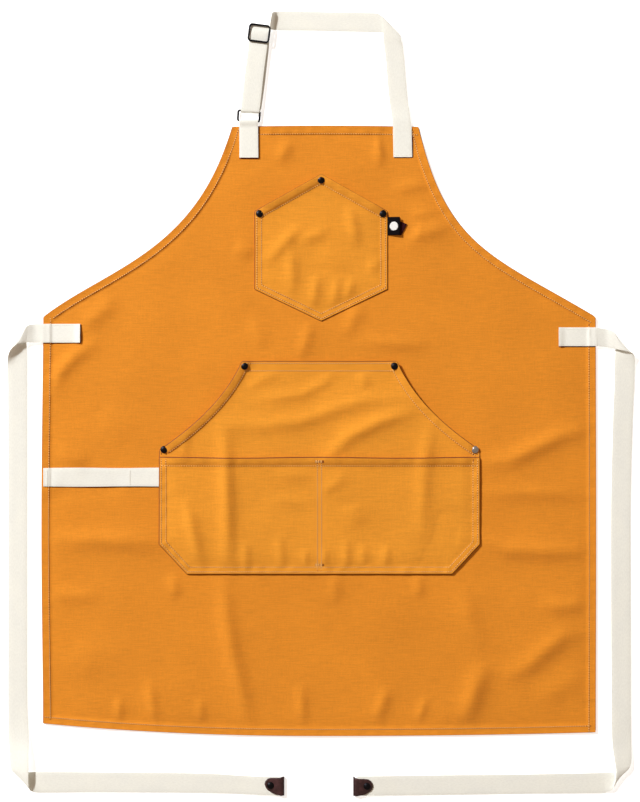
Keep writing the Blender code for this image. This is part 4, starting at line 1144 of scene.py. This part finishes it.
def panel_stitching():
    """The hem's row of stitches, side by side, along the hem and along the bib's top."""
    left, right = (np.column_stack([panel_edge(side, ys), ys]) for side, ys in (
        (-1, np.linspace(BIB_TOP, HEM_Y + 17 * MM, 500)), (1, np.linspace(HEM_Y + 5 * MM, BIB_TOP, 500))))
    xs = np.linspace(-SIDE, SIDE, 400)
    low = np.column_stack([xs, hem_y(xs)])
    xs = np.linspace(BIB[1], BIB[0], 120)
    top = np.column_stack([xs, BIB_TOP - bib_sag(xs)])
    rows = [(left[left[:, 1] > ARM_Y], 9.0), (left[left[:, 1] <= ARM_Y], 9.4), (low, 8.6),
            (right[right[:, 1] <= ARM_Y], 8.8), (right[right[:, 1] > ARM_Y], 9.4), (top, 10.5)]
    seam("hem_stitches", [inset(path[::6], depth * MM) for path, depth in rows], panel_top)


def pocket_stitching():
    """The double rows round each pocket and the rows along its mouths."""
    peak = (CHEST_X, CHEST_TOP)
    ends = [(CHEST_X + side * (CHEST_HALF - 3 * MM), SHOULDER + 1.5 * MM) for side in (-1, 1)]
    rows = [inset(CHEST_SIDES, depth) for depth in SEAM_DEPTHS]
    rows += [inset(line, -10.5 * MM) for line in ([ends[0], peak], [peak, ends[1]])]
    seam("chest_stitches", [chest.clipped(row) for row in rows], chest.height)

    rows = []
    for depth in SEAM_DEPTHS:
        row = resampled(inset(WAIST_SIDES, depth), 2 * MM)
        row = row[row[:, 1] > FRONT_TOP + 2 * MM]
        rows += [part for part in (row[row[:, 0] < 0], row[row[:, 0] > 0]) if len(part) > 2]
    for drop in (2.4 * MM, 12.5 * MM):
        rows.append([(WAIST_NARROW - 3 * MM, MOUTH_TOP - drop), (-WAIST_NARROW + 3 * MM, MOUTH_TOP - drop)])
    rows += [inset(mouth_curve(-1)[::3], 9.5 * MM), inset(mouth_curve(1)[::-3], 9.5 * MM)]
    seam("waist_stitches", [waist.clipped(row) for row in rows], waist.height)

    rows = [front.clipped(resampled(inset(FRONT_SIDES, depth), 2 * MM)) for depth in SEAM_DEPTHS]
    rows.append([(-WAIST_WIDE + 2 * MM, FRONT_TOP - 11 * MM), (WAIST_WIDE - 2 * MM, FRONT_TOP - 11 * MM)])
    rows += [[(x * MM, FRONT_TOP - 4 * MM), (x * MM, WAIST_BOTTOM + 3 * MM)] for x in (-2.8, 2.8)]
    rows += [[(-6 * MM, y - k * 1.1 * MM), (6 * MM, y - k * 1.1 * MM)]
             for y in (FRONT_TOP - 4 * MM, WAIST_BOTTOM + 13 * MM) for k in range(3)]
    seam("front_stitches", rows, front.height)


def edge_lines():
    """Dark strips of painted shade at the pockets' edges, round the turned hem and beside the sewn webbing, where
    their edges would shade the cloth.
    """
    for pocket, name, width in ((chest, "chest", 1.3), (waist, "waist", 1.3), (front, "front", 1.5)):
        rim = resampled(np.vstack([pocket.rim, pocket.rim[:1]]), 1.5 * MM)
        seam_line(f"{name}_edge_shade", [inset(rim, -0.35 * MM)], pocket.below, width * MM, step=1.8 * MM)
    rim = resampled(np.vstack([PANEL_OUTLINE.points, PANEL_OUTLINE.points[:1]]), 3 * MM)
    seam_line("hem_edge_painted_shade", [inset(rim, -0.1 * MM)], lambda x, y: np.full(np.shape(x), 1.3 * MM), 1.4 * MM,
              step=3 * MM)
    rows = [[(-82.7, 334), (-82.7, 291.4), (-108.6, 291.4)], [(-323.4, 66.4), (-323.4, 41.0), (-373.5, 41.0)],
            [(324.6, 36.2), (373.5, 36.2)], [(-372.5, -154.0), (-217.5, -154.0)],
            [(126.3, 329), (126.3, 292.6), (101.5, 292.6)]]
    seam_line("webbing_edge_shade", [np.array(row) * MM for row in rows], panel_top, 2.0 * MM)


# ---------------------------------------------------------------- light and floor

WORLD_COLOUR, WORLD_STRENGTH = (1.0, 0.78, 0.6, 1), 0.34
LAMP_PLACE, LAMP_SIZE, LAMP_POWER = (-5.0, 4.3, 5.0), 0.85, 870
LAMP_TARGET = (0, -0.05, 0)
FLOOR_GLOW = 0.62
FLOOR_HALF = 6


def build_light():
    world = bpy.data.worlds.new("world")
    world.use_nodes = True
    background = world.node_tree.nodes["Background"].inputs
    background[0].default_value, background[1].default_value = WORLD_COLOUR, WORLD_STRENGTH
    scene.world = world
    data = bpy.data.lights.new("key", "AREA")
    data.energy, data.size = LAMP_POWER, LAMP_SIZE
    data.shape = "DISK"
    data.color = (0.965, 0.985, 1.0)
    lamp = bpy.data.objects.new("key", data)
    lamp.location = LAMP_PLACE
    lamp.rotation_euler = (Vector(LAMP_TARGET) - Vector(LAMP_PLACE)).to_track_quat("-Z", "Y").to_euler()
    scene.collection.objects.link(lamp)
    paper = Shading("floor").finish(Base_Color=(0.9, 0.9, 0.9, 1), Roughness=0.9, Emission_Color=(1, 1, 1, 1),
                                    Emission_Strength=FLOOR_GLOW)
    corners = [(x * FLOOR_HALF, y * FLOOR_HALF, 0) for x, y in ((-1, -1), (1, -1), (1, 1), (-1, 1))]
    add_piece("floor", corners, [[0, 1, 2, 3]], paper, smooth=False)


build_camera()
waist_tie("left")
waist_tie("right")
build_panel()
chest.build("chest_pocket_cloth", "chest_pocket", 84)
waist.build("waist_pocket_cloth", "waist_pocket", 110)
front.build("front_pocket_cloth", "front_pocket", 74)
tie_tab("left", -1, 54.2)
tie_tab("right", 1, 49.5)
towel_loop()
sewn_strap_end()
ring_tab()
neck_strap()
strap_to_ring()
slider_loop()
slider()
ring_materials = bpy.data.objects["ring"].data.materials
ring_materials.clear()
ring_materials.append(gunmetal)
label()
panel_stitching()
pocket_stitching()
edge_lines()
for place in ("chest_rivet_top", "chest_rivet_left", "chest_rivet_right", "waist_rivet_top_left",
              "waist_rivet_top_right", "waist_rivet_side_left", "waist_rivet_side_right"):
    # The lower right rivet at the waist pocket's side takes the brighter metal as a painted reflection.
    rivet(f"{place}_dome", 5 * MM, painted_glint_metal if place == "waist_rivet_side_right" else gunmetal, "apron",
          [f"{place}_cap", f"{place}_post"])
build_light()
